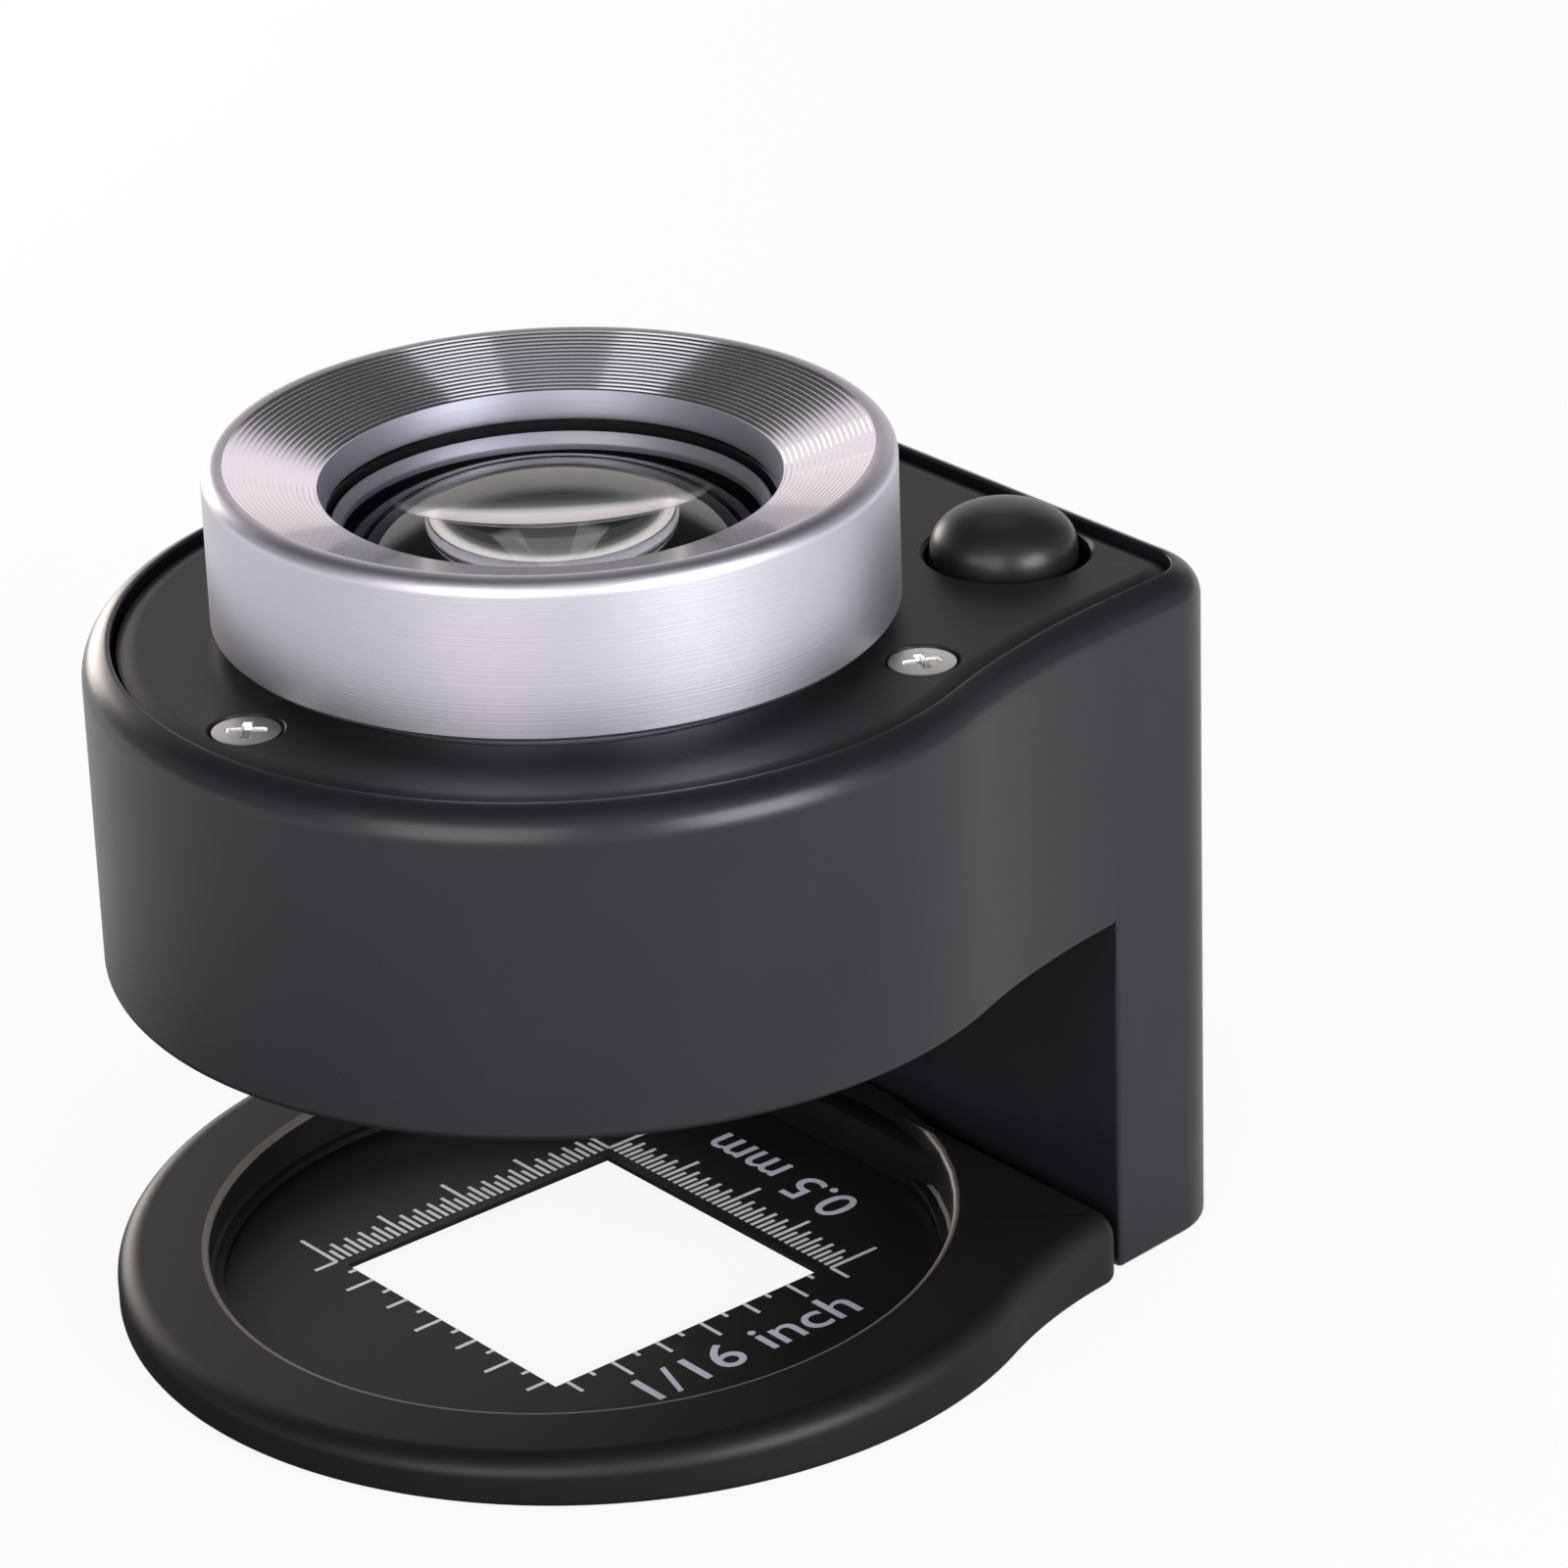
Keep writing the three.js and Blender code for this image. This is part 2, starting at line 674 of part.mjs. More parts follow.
function switchBody() {
  const half = SWITCH.side / 2;
  const body = block(
    BUTTON.x - half, BUTTON.x + half,
    BUTTON.y - half, BUTTON.y + half,
    SWITCH.bottom, SWITCH.top,
  );
  const boreRadius = SWITCH.plungerRadius + GAP;
  const bore = disc(boreRadius, SWITCH.bottom + SWITCH.floor, SWITCH.top + PAST, at(BUTTON.x, BUTTON.y));
  return cut(body, bore);
}

function switchPlunger() {
  const { plungerRadius, plungerBottom, plungerTop } = SWITCH;
  return disc(plungerRadius, plungerBottom, plungerTop, at(BUTTON.x, BUTTON.y));
}

// Lighting

function circuitBoard() {
  const board = pulled(keyhole(HEAD, BOARD.inset), BOARD.bottom, BOARD.top, 0);
  const below = BOARD.bottom - PAST;
  const above = BOARD.top + PAST;
  const postHoles = COVER_SCREW.angles.map((angle) => {
    const [x, y] = onCircle(COVER_SCREW.circleRadius, angle);
    return disc(POST.radius + GAP, below, above, at(x, y));
  });
  const lightHole = disc(BOARD.holeRadius, below, above);
  const holderRadius = BATTERY.radius + GAP + HOLDER.wall + GAP;
  const holderHole = disc(holderRadius, below, above, at(BATTERY.x, BATTERY.y, MEDIUM_ROUND_STEPS));
  const cornerCut = block(-ALL, BATTERY.x, BOARD_CORNER_FRONT, ALL, below, above);
  return cut(board, ...postHoles, lightHole, holderHole, cornerCut);
}

// A lamp that hangs from the board and points down through the floor of the head.
function led(side) {
  const top = BOARD.bottom - GAP;
  const dome = arc(0, LED.tip + LED.radius, LED.radius, -90, 0, 3);
  return turned([
    ...dome.map((point) => [fromAxis(point.x), point.y]),
    [LED.radius, top - LED.flangeHeight],
    [LED.flangeRadius, top - LED.flangeHeight],
    [LED.flangeRadius, top],
    [0, top],
  ], at(side * LED.x, LED.y));
}

function seriesResistor() {
  const { x, y, length, width, height } = RESISTOR;
  const bottom = BOARD.top + GAP;
  return block(
    x - length / 2, x + length / 2,
    y - width / 2, y + width / 2,
    bottom, bottom + height,
  );
}

function batteryCell(index) {
  const bottom = BATTERY.bottom + index * BATTERY_PITCH;
  const top = bottom + BATTERY.height;
  return turned([
    [0, bottom],
    [BATTERY.rimRadius, bottom],
    [BATTERY.rimRadius, bottom + BATTERY.rimHeight],
    [BATTERY.radius, bottom + BATTERY.rimHeight],
    [BATTERY.radius, top],
    [0, top],
  ], at(BATTERY.x, BATTERY.y, MEDIUM_ROUND_STEPS));
}

function batteryHolder() {
  const place = at(BATTERY.x, BATTERY.y, MEDIUM_ROUND_STEPS);
  const inner = BATTERY.radius + GAP;
  const cup = cut(
    disc(inner + HOLDER.wall, HOLDER.bottom, HOLDER.top, place),
    disc(inner, HOLDER.bottom + HOLDER.floor, HOLDER.top + PAST, place),
  );
  const room = pulled(keyhole(HEAD, HEAD.wall + GAP), HOLDER.bottom - PAST, HOLDER.top + PAST, 0);
  const collarRoom = disc(COLLAR.outerRadius + GAP, COLLAR.bottom - PAST, HOLDER.top + PAST);
  const tabSlot = block(
    BATTERY.x + CONTACT.overlap, HOLDER.slotEndX,
    BATTERY.y - CONTACT.width / 2 - GAP, BATTERY.y + CONTACT.width / 2 + GAP,
    HOLDER.bottom + HOLDER.floor, HOLDER.top + PAST,
  );
  return cut(cup.intersect(room), collarRoom, tabSlot);
}

// A strip under the stack with a tab that comes out through the slot in the holder.
function batteryContactBottom() {
  const bottom = HOLDER.bottom + HOLDER.floor + CONTACT.lift;
  const pad = disc(CONTACT.padRadius, bottom, bottom + CONTACT.thickness, at(BATTERY.x, BATTERY.y));
  const tabEnd = BATTERY.x + BATTERY.radius + CONTACT.tabReach;
  const strip = block(
    BATTERY.x, tabEnd,
    BATTERY.y - CONTACT.width / 2, BATTERY.y + CONTACT.width / 2,
    bottom, bottom + CONTACT.thickness,
  );
  return join(pad, strip);
}

// A strip over the stack, bent down outside the holder.
function batteryContactTop() {
  const bottom = BATTERY_TOP + GAP;
  const top = bottom + CONTACT.thickness;
  const bendX = BATTERY.x + BATTERY.radius + CONTACT.bendReach;
  const front = BATTERY.y - CONTACT.width / 2;
  const rear = BATTERY.y + CONTACT.width / 2;
  const strip = block(BATTERY.x - CONTACT.overlap, bendX + CONTACT.thickness, front, rear, bottom, top);
  const leg = block(bendX, bendX + CONTACT.thickness, front, rear, BOARD.top + GAP, top);
  return join(strip, leg);
}

// A short insulated wire that follows a smooth curve through the given points.
function wire(points) {
  const lastAngle = 360 - 360 / WIRE_SIDES;
  const section = new THREE.Shape(arc(0, 0, WIRE_RADIUS, 0, lastAngle, WIRE_SIDES - 1));
  const extrudePath = new THREE.CatmullRomCurve3(points.map(([x, y, z]) => new THREE.Vector3(x, y, z)));
  return solid(new THREE.ExtrudeGeometry(section, { steps: WIRE_STEPS, bevelEnabled: false, extrudePath }));
}

// Assembly

const group = new THREE.Group();

function add(name, body, finish) {
  const mesh = new THREE.Mesh(geometryOf(body), new THREE.MeshStandardMaterial(finish));
  mesh.name = name;
  group.add(mesh);
}

add('housing_shell', housingShell(), PLASTIC_BLACK);
add('top_cover', topCover(), PLASTIC_BLACK);
COVER_SCREW.angles.forEach((angle, i) => add(`cover_screw_${i + 1}`, coverScrew(angle), NICKEL));
add('base_plate', basePlate(), PLASTIC_BLACK);
BASE_SCREW.x.forEach((x, i) => add(`base_screw_${i + 1}`, baseScrew(x), NICKEL));
add('scale_disc', scaleDisc(), PRINTED_BLACK);

add('threaded_collar', threadedCollar(), ANODISED_BLACK);
add('focus_barrel', focusBarrel(), ALUMINIUM);
add('cell_retainer', tube(
  CELL_RETAINER.innerRadius, CELL_RETAINER.outerRadius, CELL_RETAINER.bottom, CELL_RETAINER.top,
), ANODISED_BLACK);

add('lens_cell', lensCell(), ANODISED_BLACK);
add('upper_lens', upperLens(), GLASS);
add('lens_spacer', tube(SPACER.innerRadius, SPACER.outerRadius, SPACER.bottom, SPACER.top), ANODISED_BLACK);
add('lower_lens', lowerLens(), GLASS);
add('upper_retaining_ring', topRing(), ALUMINIUM);
add('lower_retaining_ring', tube(
  LOWER_RING.innerRadius, LOWER_RING.outerRadius, LOWER_RING.bottom, LOWER_RING.top,
), ANODISED_BLACK);

add('button_cap', buttonCap(), PLASTIC_BLACK);
add('switch_plunger', switchPlunger(), WIRE_BLACK);
add('switch_body', switchBody(), WIRE_BLACK);

add('circuit_board', circuitBoard(), BOARD_GREEN);
add('led_left', led(-1), LED_RESIN);
add('led_right', led(1), LED_RESIN);
add('series_resistor', seriesResistor(), WIRE_BLACK);
add('battery_holder', batteryHolder(), PLASTIC_BLACK);
for (let i = 0; i < BATTERY.count; i += 1) {
  add(`battery_cell_${i + 1}`, batteryCell(i), NICKEL);
}
add('battery_contact_bottom', batteryContactBottom(), BRASS);
add('battery_contact_top', batteryContactTop(), BRASS);
add('wire_black', wire(BLACK_WIRE_ROUTE), WIRE_BLACK);
add('wire_red', wire(RED_WIRE_ROUTE), RED_PLASTIC);

// The footprint runs from the front of the base to the back of the leg.
group.position.y = (BASE.radius - HEAD.rearY) / 2;

export default group;
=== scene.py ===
# %% [markdown]
# # A linen tester in black plastic and turned aluminium
# A linen tester is a magnifier on its own stand: an eyepiece in a black head looks down at a printed disc
# with a square window, and a leg holds the two apart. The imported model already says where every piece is
# and how it moves. This lesson dresses that model: each visible piece is worked out again as a finer
# surface, and every piece gets a finish.

# %% Load the frame
import math

import bmesh
import bpy
import numpy as np
from mathutils import Matrix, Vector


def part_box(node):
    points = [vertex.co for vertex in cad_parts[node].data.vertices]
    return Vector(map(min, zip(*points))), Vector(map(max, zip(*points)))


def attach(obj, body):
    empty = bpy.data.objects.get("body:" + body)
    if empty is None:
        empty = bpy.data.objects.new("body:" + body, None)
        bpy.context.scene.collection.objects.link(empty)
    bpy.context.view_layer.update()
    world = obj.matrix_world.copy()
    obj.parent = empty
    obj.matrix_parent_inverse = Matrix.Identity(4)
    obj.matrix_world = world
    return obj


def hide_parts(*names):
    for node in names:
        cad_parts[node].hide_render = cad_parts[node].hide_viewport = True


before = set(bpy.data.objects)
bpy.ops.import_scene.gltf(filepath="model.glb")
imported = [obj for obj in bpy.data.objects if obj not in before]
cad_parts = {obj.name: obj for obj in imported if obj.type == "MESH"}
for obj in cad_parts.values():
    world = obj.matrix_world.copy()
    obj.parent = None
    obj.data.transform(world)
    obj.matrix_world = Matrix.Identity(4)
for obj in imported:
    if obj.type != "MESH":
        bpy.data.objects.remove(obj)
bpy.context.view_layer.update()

# %% [markdown]
# ## Lengths
# The pieces are drawn in millimetres with the line of sight through the lenses as x = y = 0, as such an
# instrument is drawn. The frame has its origin in the middle of the footprint, so every finished piece is
# scaled to metres and moved by one small step along y, which is read off the round barrel.

# %% Scale and place of the line of sight
MM = 0.001
barrel_low, barrel_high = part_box("focus_barrel")
AXIS_Y = (barrel_low.y + barrel_high.y) / 2


def in_frame(points):
    """Points in millimetres round the line of sight, as metres in the frame: scaled, then moved along y."""
    return points * MM + (0, AXIS_Y, 0)


print("line of sight at y =", round(AXIS_Y / MM, 3), "mm")

# %% [markdown]
# ## From a grid of points to a piece
# Every shell is a grid: rows of points, each with the same number of columns, whose neighbours make quads. A
# row that shrinks to one point closes a pole, so double points are merged and faces without area vanish.
# Plain cubes and cylinders would be quicker, but on black plastic the rounded edges are what is seen.

# %% Grids and meshes
MERGE_WITHIN, NO_LENGTH = 2e-7, 1e-8


def sheet(grid, closed_columns=True, closed_rows=False):
    """A grid as (points, faces): a quad joins (i, j), (i, j + 1), (i + 1, j + 1) and (i + 1, j)."""
    rows, columns = grid.shape[:2]
    index = np.arange(rows * columns).reshape(rows, columns)
    ahead = np.roll(index, -1, axis=1)
    quads = np.stack([index, ahead, np.roll(ahead, -1, axis=0), np.roll(index, -1, axis=0)], axis=-1)
    last_row = rows if closed_rows else rows - 1
    last_column = columns if closed_columns else columns - 1
    return grid.reshape(-1, 3), quads[:last_row, :last_column].reshape(-1, 4)


def placed(name, data):
    """A new object in the scene."""
    made = bpy.data.objects.new(name, data)
    bpy.context.collection.objects.link(made)
    return made


def mesh_object(name, *sheets):
    """One object from several (points, faces), with double points merged and faces turned outwards."""
    starts = np.cumsum([0] + [len(points) for points, faces in sheets[:-1]])
    points = in_frame(np.concatenate([points for points, faces in sheets]))
    faces = [face for start, (_, part) in zip(starts, sheets) for face in (np.asarray(part) + start).tolist()]
    mesh = bpy.data.meshes.new(name)
    mesh.from_pydata(points.tolist(), [], faces)
    tidy = bmesh.new()
    tidy.from_mesh(mesh)
    bmesh.ops.remove_doubles(tidy, verts=tidy.verts, dist=MERGE_WITHIN)
    bmesh.ops.dissolve_degenerate(tidy, dist=NO_LENGTH, edges=tidy.edges)
    bmesh.ops.recalc_face_normals(tidy, faces=tidy.faces)
    tidy.to_mesh(mesh)
    tidy.free()
    return placed(name, mesh)


print("grid helpers ready")

# %% [markdown]
# ## Holes, edges and finishing
# Holes are cut with a Boolean, because a grid can't have one in its middle. Then the faces are shaded smooth
# with sharp edges above a chosen angle, and the normals are weighted by face size. Without that a large flat
# face takes its shade from the thin rounded faces around it, and looks dented.

# %% Boolean, smooth shading and finishing
FACE_WEIGHT = 100


def with_modifiers_applied(piece):
    """Replaces the piece's mesh by what its modifiers make of it."""
    graph = bpy.context.evaluated_depsgraph_get()
    made = bpy.data.meshes.new_from_object(piece.evaluated_get(graph))
    piece.modifiers.clear()
    piece.data = made


def boolean(piece, *sheets, operation="DIFFERENCE"):
    """Cuts one tool, made of the sheets, out of the piece, or joins it to the piece."""
    tool = mesh_object("tool", *sheets)
    step = piece.modifiers.new("cut", "BOOLEAN")
    step.operation, step.solver, step.object = operation, "EXACT", tool
    with_modifiers_applied(piece)
    bpy.data.objects.remove(tool)


def finish(piece, material, slot, *nodes, body="housing", sharp=30):
    """Shades the piece, gives it its material and its body, and hides the CAD nodes that it stands for; slot
    is not used.
    """
    piece.data.shade_smooth()
    piece.data.set_sharp_from_angle(angle=math.radians(sharp))
    even = piece.modifiers.new("even", "WEIGHTED_NORMAL")
    even.keep_sharp, even.weight = True, FACE_WEIGHT
    with_modifiers_applied(piece)
    piece.data.materials.clear()
    piece.data.materials.append(material)
    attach(piece, body)
    if nodes:
        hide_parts(*nodes)
    print(piece.name, len(piece.data.polygons), "faces")


print("finishing helpers ready")

# %% [markdown]
# ## Turned pieces
# A lathe carries a profile round an axis. The profile is a list of radius and height; a fillet between two
# straight lines is a part of a circle in that list. Barrel, lens cell, rings, lenses, button and the
# cutters for the holes are all made this way.

# %% The lathe
def arc(centre, radius, start, end, count):
    """count + 1 points at equal steps of angle on a circle, angles in degrees."""
    angle = np.radians(np.linspace(start, end, count + 1))
    return np.stack([centre[0] + radius * np.cos(angle), centre[1] + radius * np.sin(angle)], axis=-1)


def turned(profile, steps=256, centre=(0, 0), closed=False):
    """The grid x = cx + r cos a, y = cy + r sin a, z = h for each (r, h) of the profile and angle a."""
    radius, height = np.asarray(profile, dtype=float).T
    angle = 2 * np.pi * np.arange(steps) / steps
    x = centre[0] + radius[:, None] * np.cos(angle)
    y = centre[1] + radius[:, None] * np.sin(angle)
    z = np.broadcast_to(height[:, None], x.shape)
    return sheet(np.stack([x, y, z], axis=-1), closed_rows=closed)


print("lathe ready")

# %% [markdown]
# ## The keyhole outline
# Head, cover and base share one kind of outline: a half circle at the front, a hollow waist on each side,
# nearly straight flanks, rounded rear corners and a straight rear. Each stretch keeps its number of points,
# so outlines with different insets match column by column, and rows with growing inset round an edge. The
# waist is split where the front of the leg begins.

# %% Outline of head and base
HEAD = dict(radius=25.95, side=(21.2, 21.5), taper=0.1, waist=50, rear=31, corner=4.2)
BASE = dict(radius=26.7, side=(22.0, 21.0), taper=0.1, waist=30, rear=21.05, corner=1.5)
LEG_FRONT = 21.5
FRONT_STEPS, WAIST_STEPS, SPLIT_STEPS, CORNER_STEPS, REAR_STEPS = 96, 20, 3, 12, 6
LEAST_CORNER, SPLIT_MARGIN = 0.4, 0.05


def keyhole(plan, inset=0.0, split_y=LEG_FRONT):
    """Closed outline, from the front middle round the right side: circle, waist arc, flank, corner, rear."""
    normal = np.array([1, plan["taper"]]) / math.hypot(1, plan["taper"])
    along = np.array([-normal[1], normal[0]])
    flank = normal @ plan["side"]
    reach = flank + plan["waist"]
    drop = math.sqrt((plan["radius"] + plan["waist"]) ** 2 - reach**2)
    waist = normal * reach + along * drop
    start = math.degrees(math.atan2(waist[1], waist[0]))
    end = math.degrees(math.atan2(normal[1], normal[0]))
    hollow = plan["waist"] + inset
    lean = min(split_y - waist[1], -hollow * normal[1] - SPLIT_MARGIN) / hollow
    split = 180 - math.degrees(math.asin(lean))
    corner, rear = max(plan["corner"] - inset, LEAST_CORNER), plan["rear"] - inset
    corner_y = rear - corner
    corner_x = (flank - inset - corner - normal[1] * corner_y) / normal[0]
    right = np.concatenate([
        arc((0, 0), plan["radius"] - inset, -90, start, FRONT_STEPS)[:-1],
        arc(waist, hollow, 180 + start, split, WAIST_STEPS)[:-1],
        arc(waist, hollow, split, 180 + end, SPLIT_STEPS),
        arc((corner_x, corner_y), corner, end, 90, CORNER_STEPS)[:-1],
        np.linspace((corner_x, rear), (0, rear), REAR_STEPS + 1),
    ])
    left = right[-2:0:-1] * (-1, 1)
    return np.concatenate([right, left])


RIGHT_SPLIT = FRONT_STEPS + WAIST_STEPS
COLUMNS = len(keyhole(HEAD))
LEFT_SPLIT = COLUMNS - RIGHT_SPLIT
print("outline:", COLUMNS, "columns, leg from", RIGHT_SPLIT, "to", LEFT_SPLIT)

# %% Rows at a height
def at_height(outline, z):
    """Points (x, y) of an outline lifted to height z."""
    return np.column_stack([outline, np.full(len(outline), z)])


def outline_rows(plan, profile):
    """A keyhole outline for each (inset, z) of the profile."""
    return [at_height(keyhole(plan, inset), z) for inset, z in profile]


def circle_rows(like, profile, centre=(0, 0)):
    """A circle for each (radius, z), its points in the same directions from the centre as the outline's."""
    angle = np.arctan2(like[:, 1] - centre[1], like[:, 0] - centre[0])
    way = np.column_stack([np.cos(angle), np.sin(angle)])
    return [at_height(centre + radius * way, z) for radius, z in profile]


head_plan = keyhole(HEAD)
print("head", np.ptp(head_plan[:, 0]).round(2), "x", np.ptp(head_plan[:, 1]).round(2), "mm")

# %% [markdown]
# ## Finishes: shared effects
# Real surfaces are never one value. Moulded plastic has a fine grain and slight clouds of sheen, and turned
# metal has lines round the axis. Each effect is a node group that gives a colour, a roughness and a normal
# to every material. Both read the Object coordinates in metres, so a scale of 1000 means a millimetre.

# %% Helpers for node trees
def add(tree, kind, given=None, **properties):
    """Adds a node with properties; its inputs are given as sockets or values. Returns its outputs."""
    made = tree.nodes.new(kind if kind.startswith("NodeGroup") else "ShaderNode" + kind)
    for key, value in properties.items():
        setattr(made, key, value)
    for key, source in (given or {}).items():
        if isinstance(source, bpy.types.NodeSocket):
            tree.links.new(source, made.inputs[key])
        else:
            made.inputs[key].default_value = source
    return made.outputs


def math_node(tree, operation, first, second=0):
    """The result of a Math node of two inputs, each a socket or a number."""
    return add(tree, "Math", {0: first, 1: second}, operation=operation)[0]


def between(tree, factor, low, high):
    """low + factor times (high - low), for sockets."""
    span = math_node(tree, "SUBTRACT", high, low)
    return math_node(tree, "ADD", low, math_node(tree, "MULTIPLY", span, factor))


def colour_between(tree, factor, dark, light):
    """Mixes two colour sockets by a factor socket."""
    return add(tree, "Mix", {0: factor, 6: dark, 7: light}, data_type="RGBA")[2]


def noise(tree, vector, scale, detail=2.0):
    """A noise texture's factor at a scale per metre, which may be a socket."""
    given = {"Vector": vector, "Scale": scale, "Detail": detail}
    return add(tree, "TexNoise", given)["Fac"]


print("node helpers ready")

# %% Node groups: moulded grain and turned lines
CLOUD_SCALE, CLOUD_DETAIL, BUMP_HEIGHT = 160.0, 4.0, 0.02
COLOUR, NUMBER, VECTOR = "NodeSocketColor", "NodeSocketFloat", "NodeSocketVector"
GROUP_INPUTS = {
    "Dark Color": COLOUR, "Light Color": COLOUR,
    "Smooth": NUMBER, "Rough": NUMBER, "Scale": NUMBER, "Depth": NUMBER,
}
GROUP_OUTPUTS = {"Color": COLOUR, "Roughness": NUMBER, "Normal": VECTOR}


def finish_group(name, pattern_place):
    """Clouds mix the colours, clouds and noise the roughnesses; the noise at pattern_place gives the bump."""
    tree = bpy.data.node_groups.new(name, "ShaderNodeTree")
    for way, sockets in (("INPUT", GROUP_INPUTS), ("OUTPUT", GROUP_OUTPUTS)):
        for label, kind in sockets.items():
            tree.interface.new_socket(label, in_out=way, socket_type=kind)
    given = add(tree, "NodeGroupInput")
    place = add(tree, "TexCoord")["Object"]
    clouds = noise(tree, place, CLOUD_SCALE, CLOUD_DETAIL)
    grain = noise(tree, pattern_place(tree, place), given["Scale"])
    mask = math_node(tree, "MULTIPLY", math_node(tree, "ADD", clouds, grain), 0.5)
    bump = {"Distance": BUMP_HEIGHT * MM, "Strength": given["Depth"], "Height": grain}
    add(tree, "NodeGroupOutput", {
        "Color": colour_between(tree, clouds, given["Dark Color"], given["Light Color"]),
        "Roughness": between(tree, mask, given["Smooth"], given["Rough"]),
        "Normal": add(tree, "Bump", bump)["Normal"],
    })
    return tree


def round_the_axis(tree, place):
    """The point (distance from the line of sight, 0, height): noise there makes rings round the axis."""
    centred = add(tree, "Mapping", {"Vector": place, "Location": (0, -AXIS_Y, 0)})
    parts = add(tree, "SeparateXYZ", {0: centred["Vector"]})
    squares = [math_node(tree, "MULTIPLY", parts[axis], parts[axis]) for axis in "XY"]
    radius = math_node(tree, "SQRT", math_node(tree, "ADD", *squares))
    return add(tree, "CombineXYZ", {"X": radius, "Z": parts["Z"]})[0]


moulded_grain = finish_group("moulded grain", lambda tree, place: place)
turned_lines = finish_group("turned lines", round_the_axis)
print("groups:", [group.name for group in bpy.data.node_groups])

# %% A material from a group and a shader
def surface(name, dark, light, smooth, rough, scale=5000.0, depth=0.25, group=moulded_grain, **shader):
    """A Principled material whose colour, roughness and normal come from a finish group."""
    material = bpy.data.materials.new(name)
    material.use_nodes = True
    tree = material.node_tree
    values = dict(zip(GROUP_INPUTS, ((*dark, 1), (*light, 1), smooth, rough, scale, depth)))
    effect = add(tree, "Group", values, node_tree=group)
    principled = tree.nodes["Principled BSDF"].inputs
    for source, target in zip(GROUP_OUTPUTS, ("Base Color", "Roughness", "Normal")):
        tree.links.new(effect[source], principled[target])
    for label, value in shader.items():
        principled[label.replace("_", " ")].default_value = value
    return material


black_plastic = surface("moulded black plastic", (0.010, 0.0095, 0.014), (0.015, 0.014, 0.020), 0.27, 0.34)
print("first material:", black_plastic.name)

# %% [markdown]
# ## The shell: head and leg in one moulding
# The head is a closed wall with a floor; the leg goes down from its rear. One grid runs from the opening in
# the floor, up the inner wall, over the rounded rim and down the outside. At the front its last rows round
# the lower edge; above the leg they go straight on. The columns where the two meet are doubled, so the step
# between them is a small flat face in the plane of the leg's front.

# %% Rows of the head
HEAD_BOTTOM, HEAD_TOP, HEAD_WALL, TOP_ROUND, BOTTOM_ROUND = 21.6, 40.55, 1.65, 2.0, 0.5
FLOOR_TOP, OPENING_RADIUS, OPENING_EDGE, RIM_ROUND = 23.6, 12.5, 0.25, 0.14


def rim_profile():
    """(inset, z) of the upper edge: small round at the inner wall, then a large round to the outer wall."""
    end = math.degrees(math.acos((TOP_ROUND - HEAD_WALL + RIM_ROUND) / TOP_ROUND))
    outer = arc((0, 0), TOP_ROUND, end, 0, 14) * (-1, 1) + (TOP_ROUND, HEAD_TOP - TOP_ROUND)
    inner = arc((HEAD_WALL - RIM_ROUND, outer[0, 1] - RIM_ROUND), RIM_ROUND, 0, 90, 4)[:-1]
    return np.concatenate([inner, outer])


def head_rows():
    """Rows from the opening in the floor, over the rim, to the start of the lower edge."""
    opening = [
        (OPENING_RADIUS + OPENING_EDGE, HEAD_BOTTOM),
        (OPENING_RADIUS, HEAD_BOTTOM + OPENING_EDGE),
        (OPENING_RADIUS, FLOOR_TOP),
    ]
    wall = [(HEAD_WALL, FLOOR_TOP), *rim_profile(), (0, HEAD_BOTTOM + BOTTOM_ROUND)]
    return circle_rows(keyhole(HEAD), opening) + outline_rows(HEAD, wall)


def doubled(rounded, straight):
    """Row with the rounded points at the front and the straight ones at the leg, both at the two joints."""
    front_right, leg = rounded[: RIGHT_SPLIT + 1], straight[RIGHT_SPLIT : LEFT_SPLIT + 1]
    return np.concatenate([front_right, leg, rounded[LEFT_SPLIT:]])


upper_rows = head_rows()
lower_edge = arc((BOTTOM_ROUND, HEAD_BOTTOM + BOTTOM_ROUND), BOTTOM_ROUND, 180, 270, 6)[1:]
rounded_rows, straight_rows = outline_rows(HEAD, lower_edge), outline_rows(HEAD, lower_edge * (0, 1))
rows = list(map(doubled, upper_rows + rounded_rows, upper_rows + straight_rows))
head_sheet = sheet(np.stack(rows))
print("head grid:", len(rows), "rows of", len(rows[0]))

# %% Underside of the head
def underside():
    """Flat strips from the lower edge, and from the leg's front line, to the opening's edge."""
    edge, ring = at_height(keyhole(HEAD, BOTTOM_ROUND), HEAD_BOTTOM), upper_rows[0]
    front = np.r_[LEFT_SPLIT:COLUMNS, 0 : RIGHT_SPLIT + 1]
    behind = np.arange(RIGHT_SPLIT, LEFT_SPLIT + 1)
    line = np.linspace(edge[RIGHT_SPLIT], edge[LEFT_SPLIT], len(behind))
    strips = [np.stack([edge[front], ring[front]]), np.stack([line, ring[behind]])]
    return [sheet(strip, closed_columns=False) for strip in strips], line


underside_sheets, front_line = underside()
print("front of the leg:", abs(front_line[0, 0] * 2).round(2), "mm wide under the head")

# %% The leg
FOOT_ROUND, LEG_EDGE, FADE_FROM, FADE_TO = 0.4, 0.35, 21.6, 17.0


def smooth_step(value):
    """0 below 0, 1 above 1, and 3 v^2 - 2 v^3 between."""
    value = np.clip(value, 0, 1)
    return value * value * (3 - 2 * value)


def unit(vectors):
    """Vectors divided by their lengths."""
    return vectors / np.linalg.norm(vectors, axis=-1, keepdims=True)


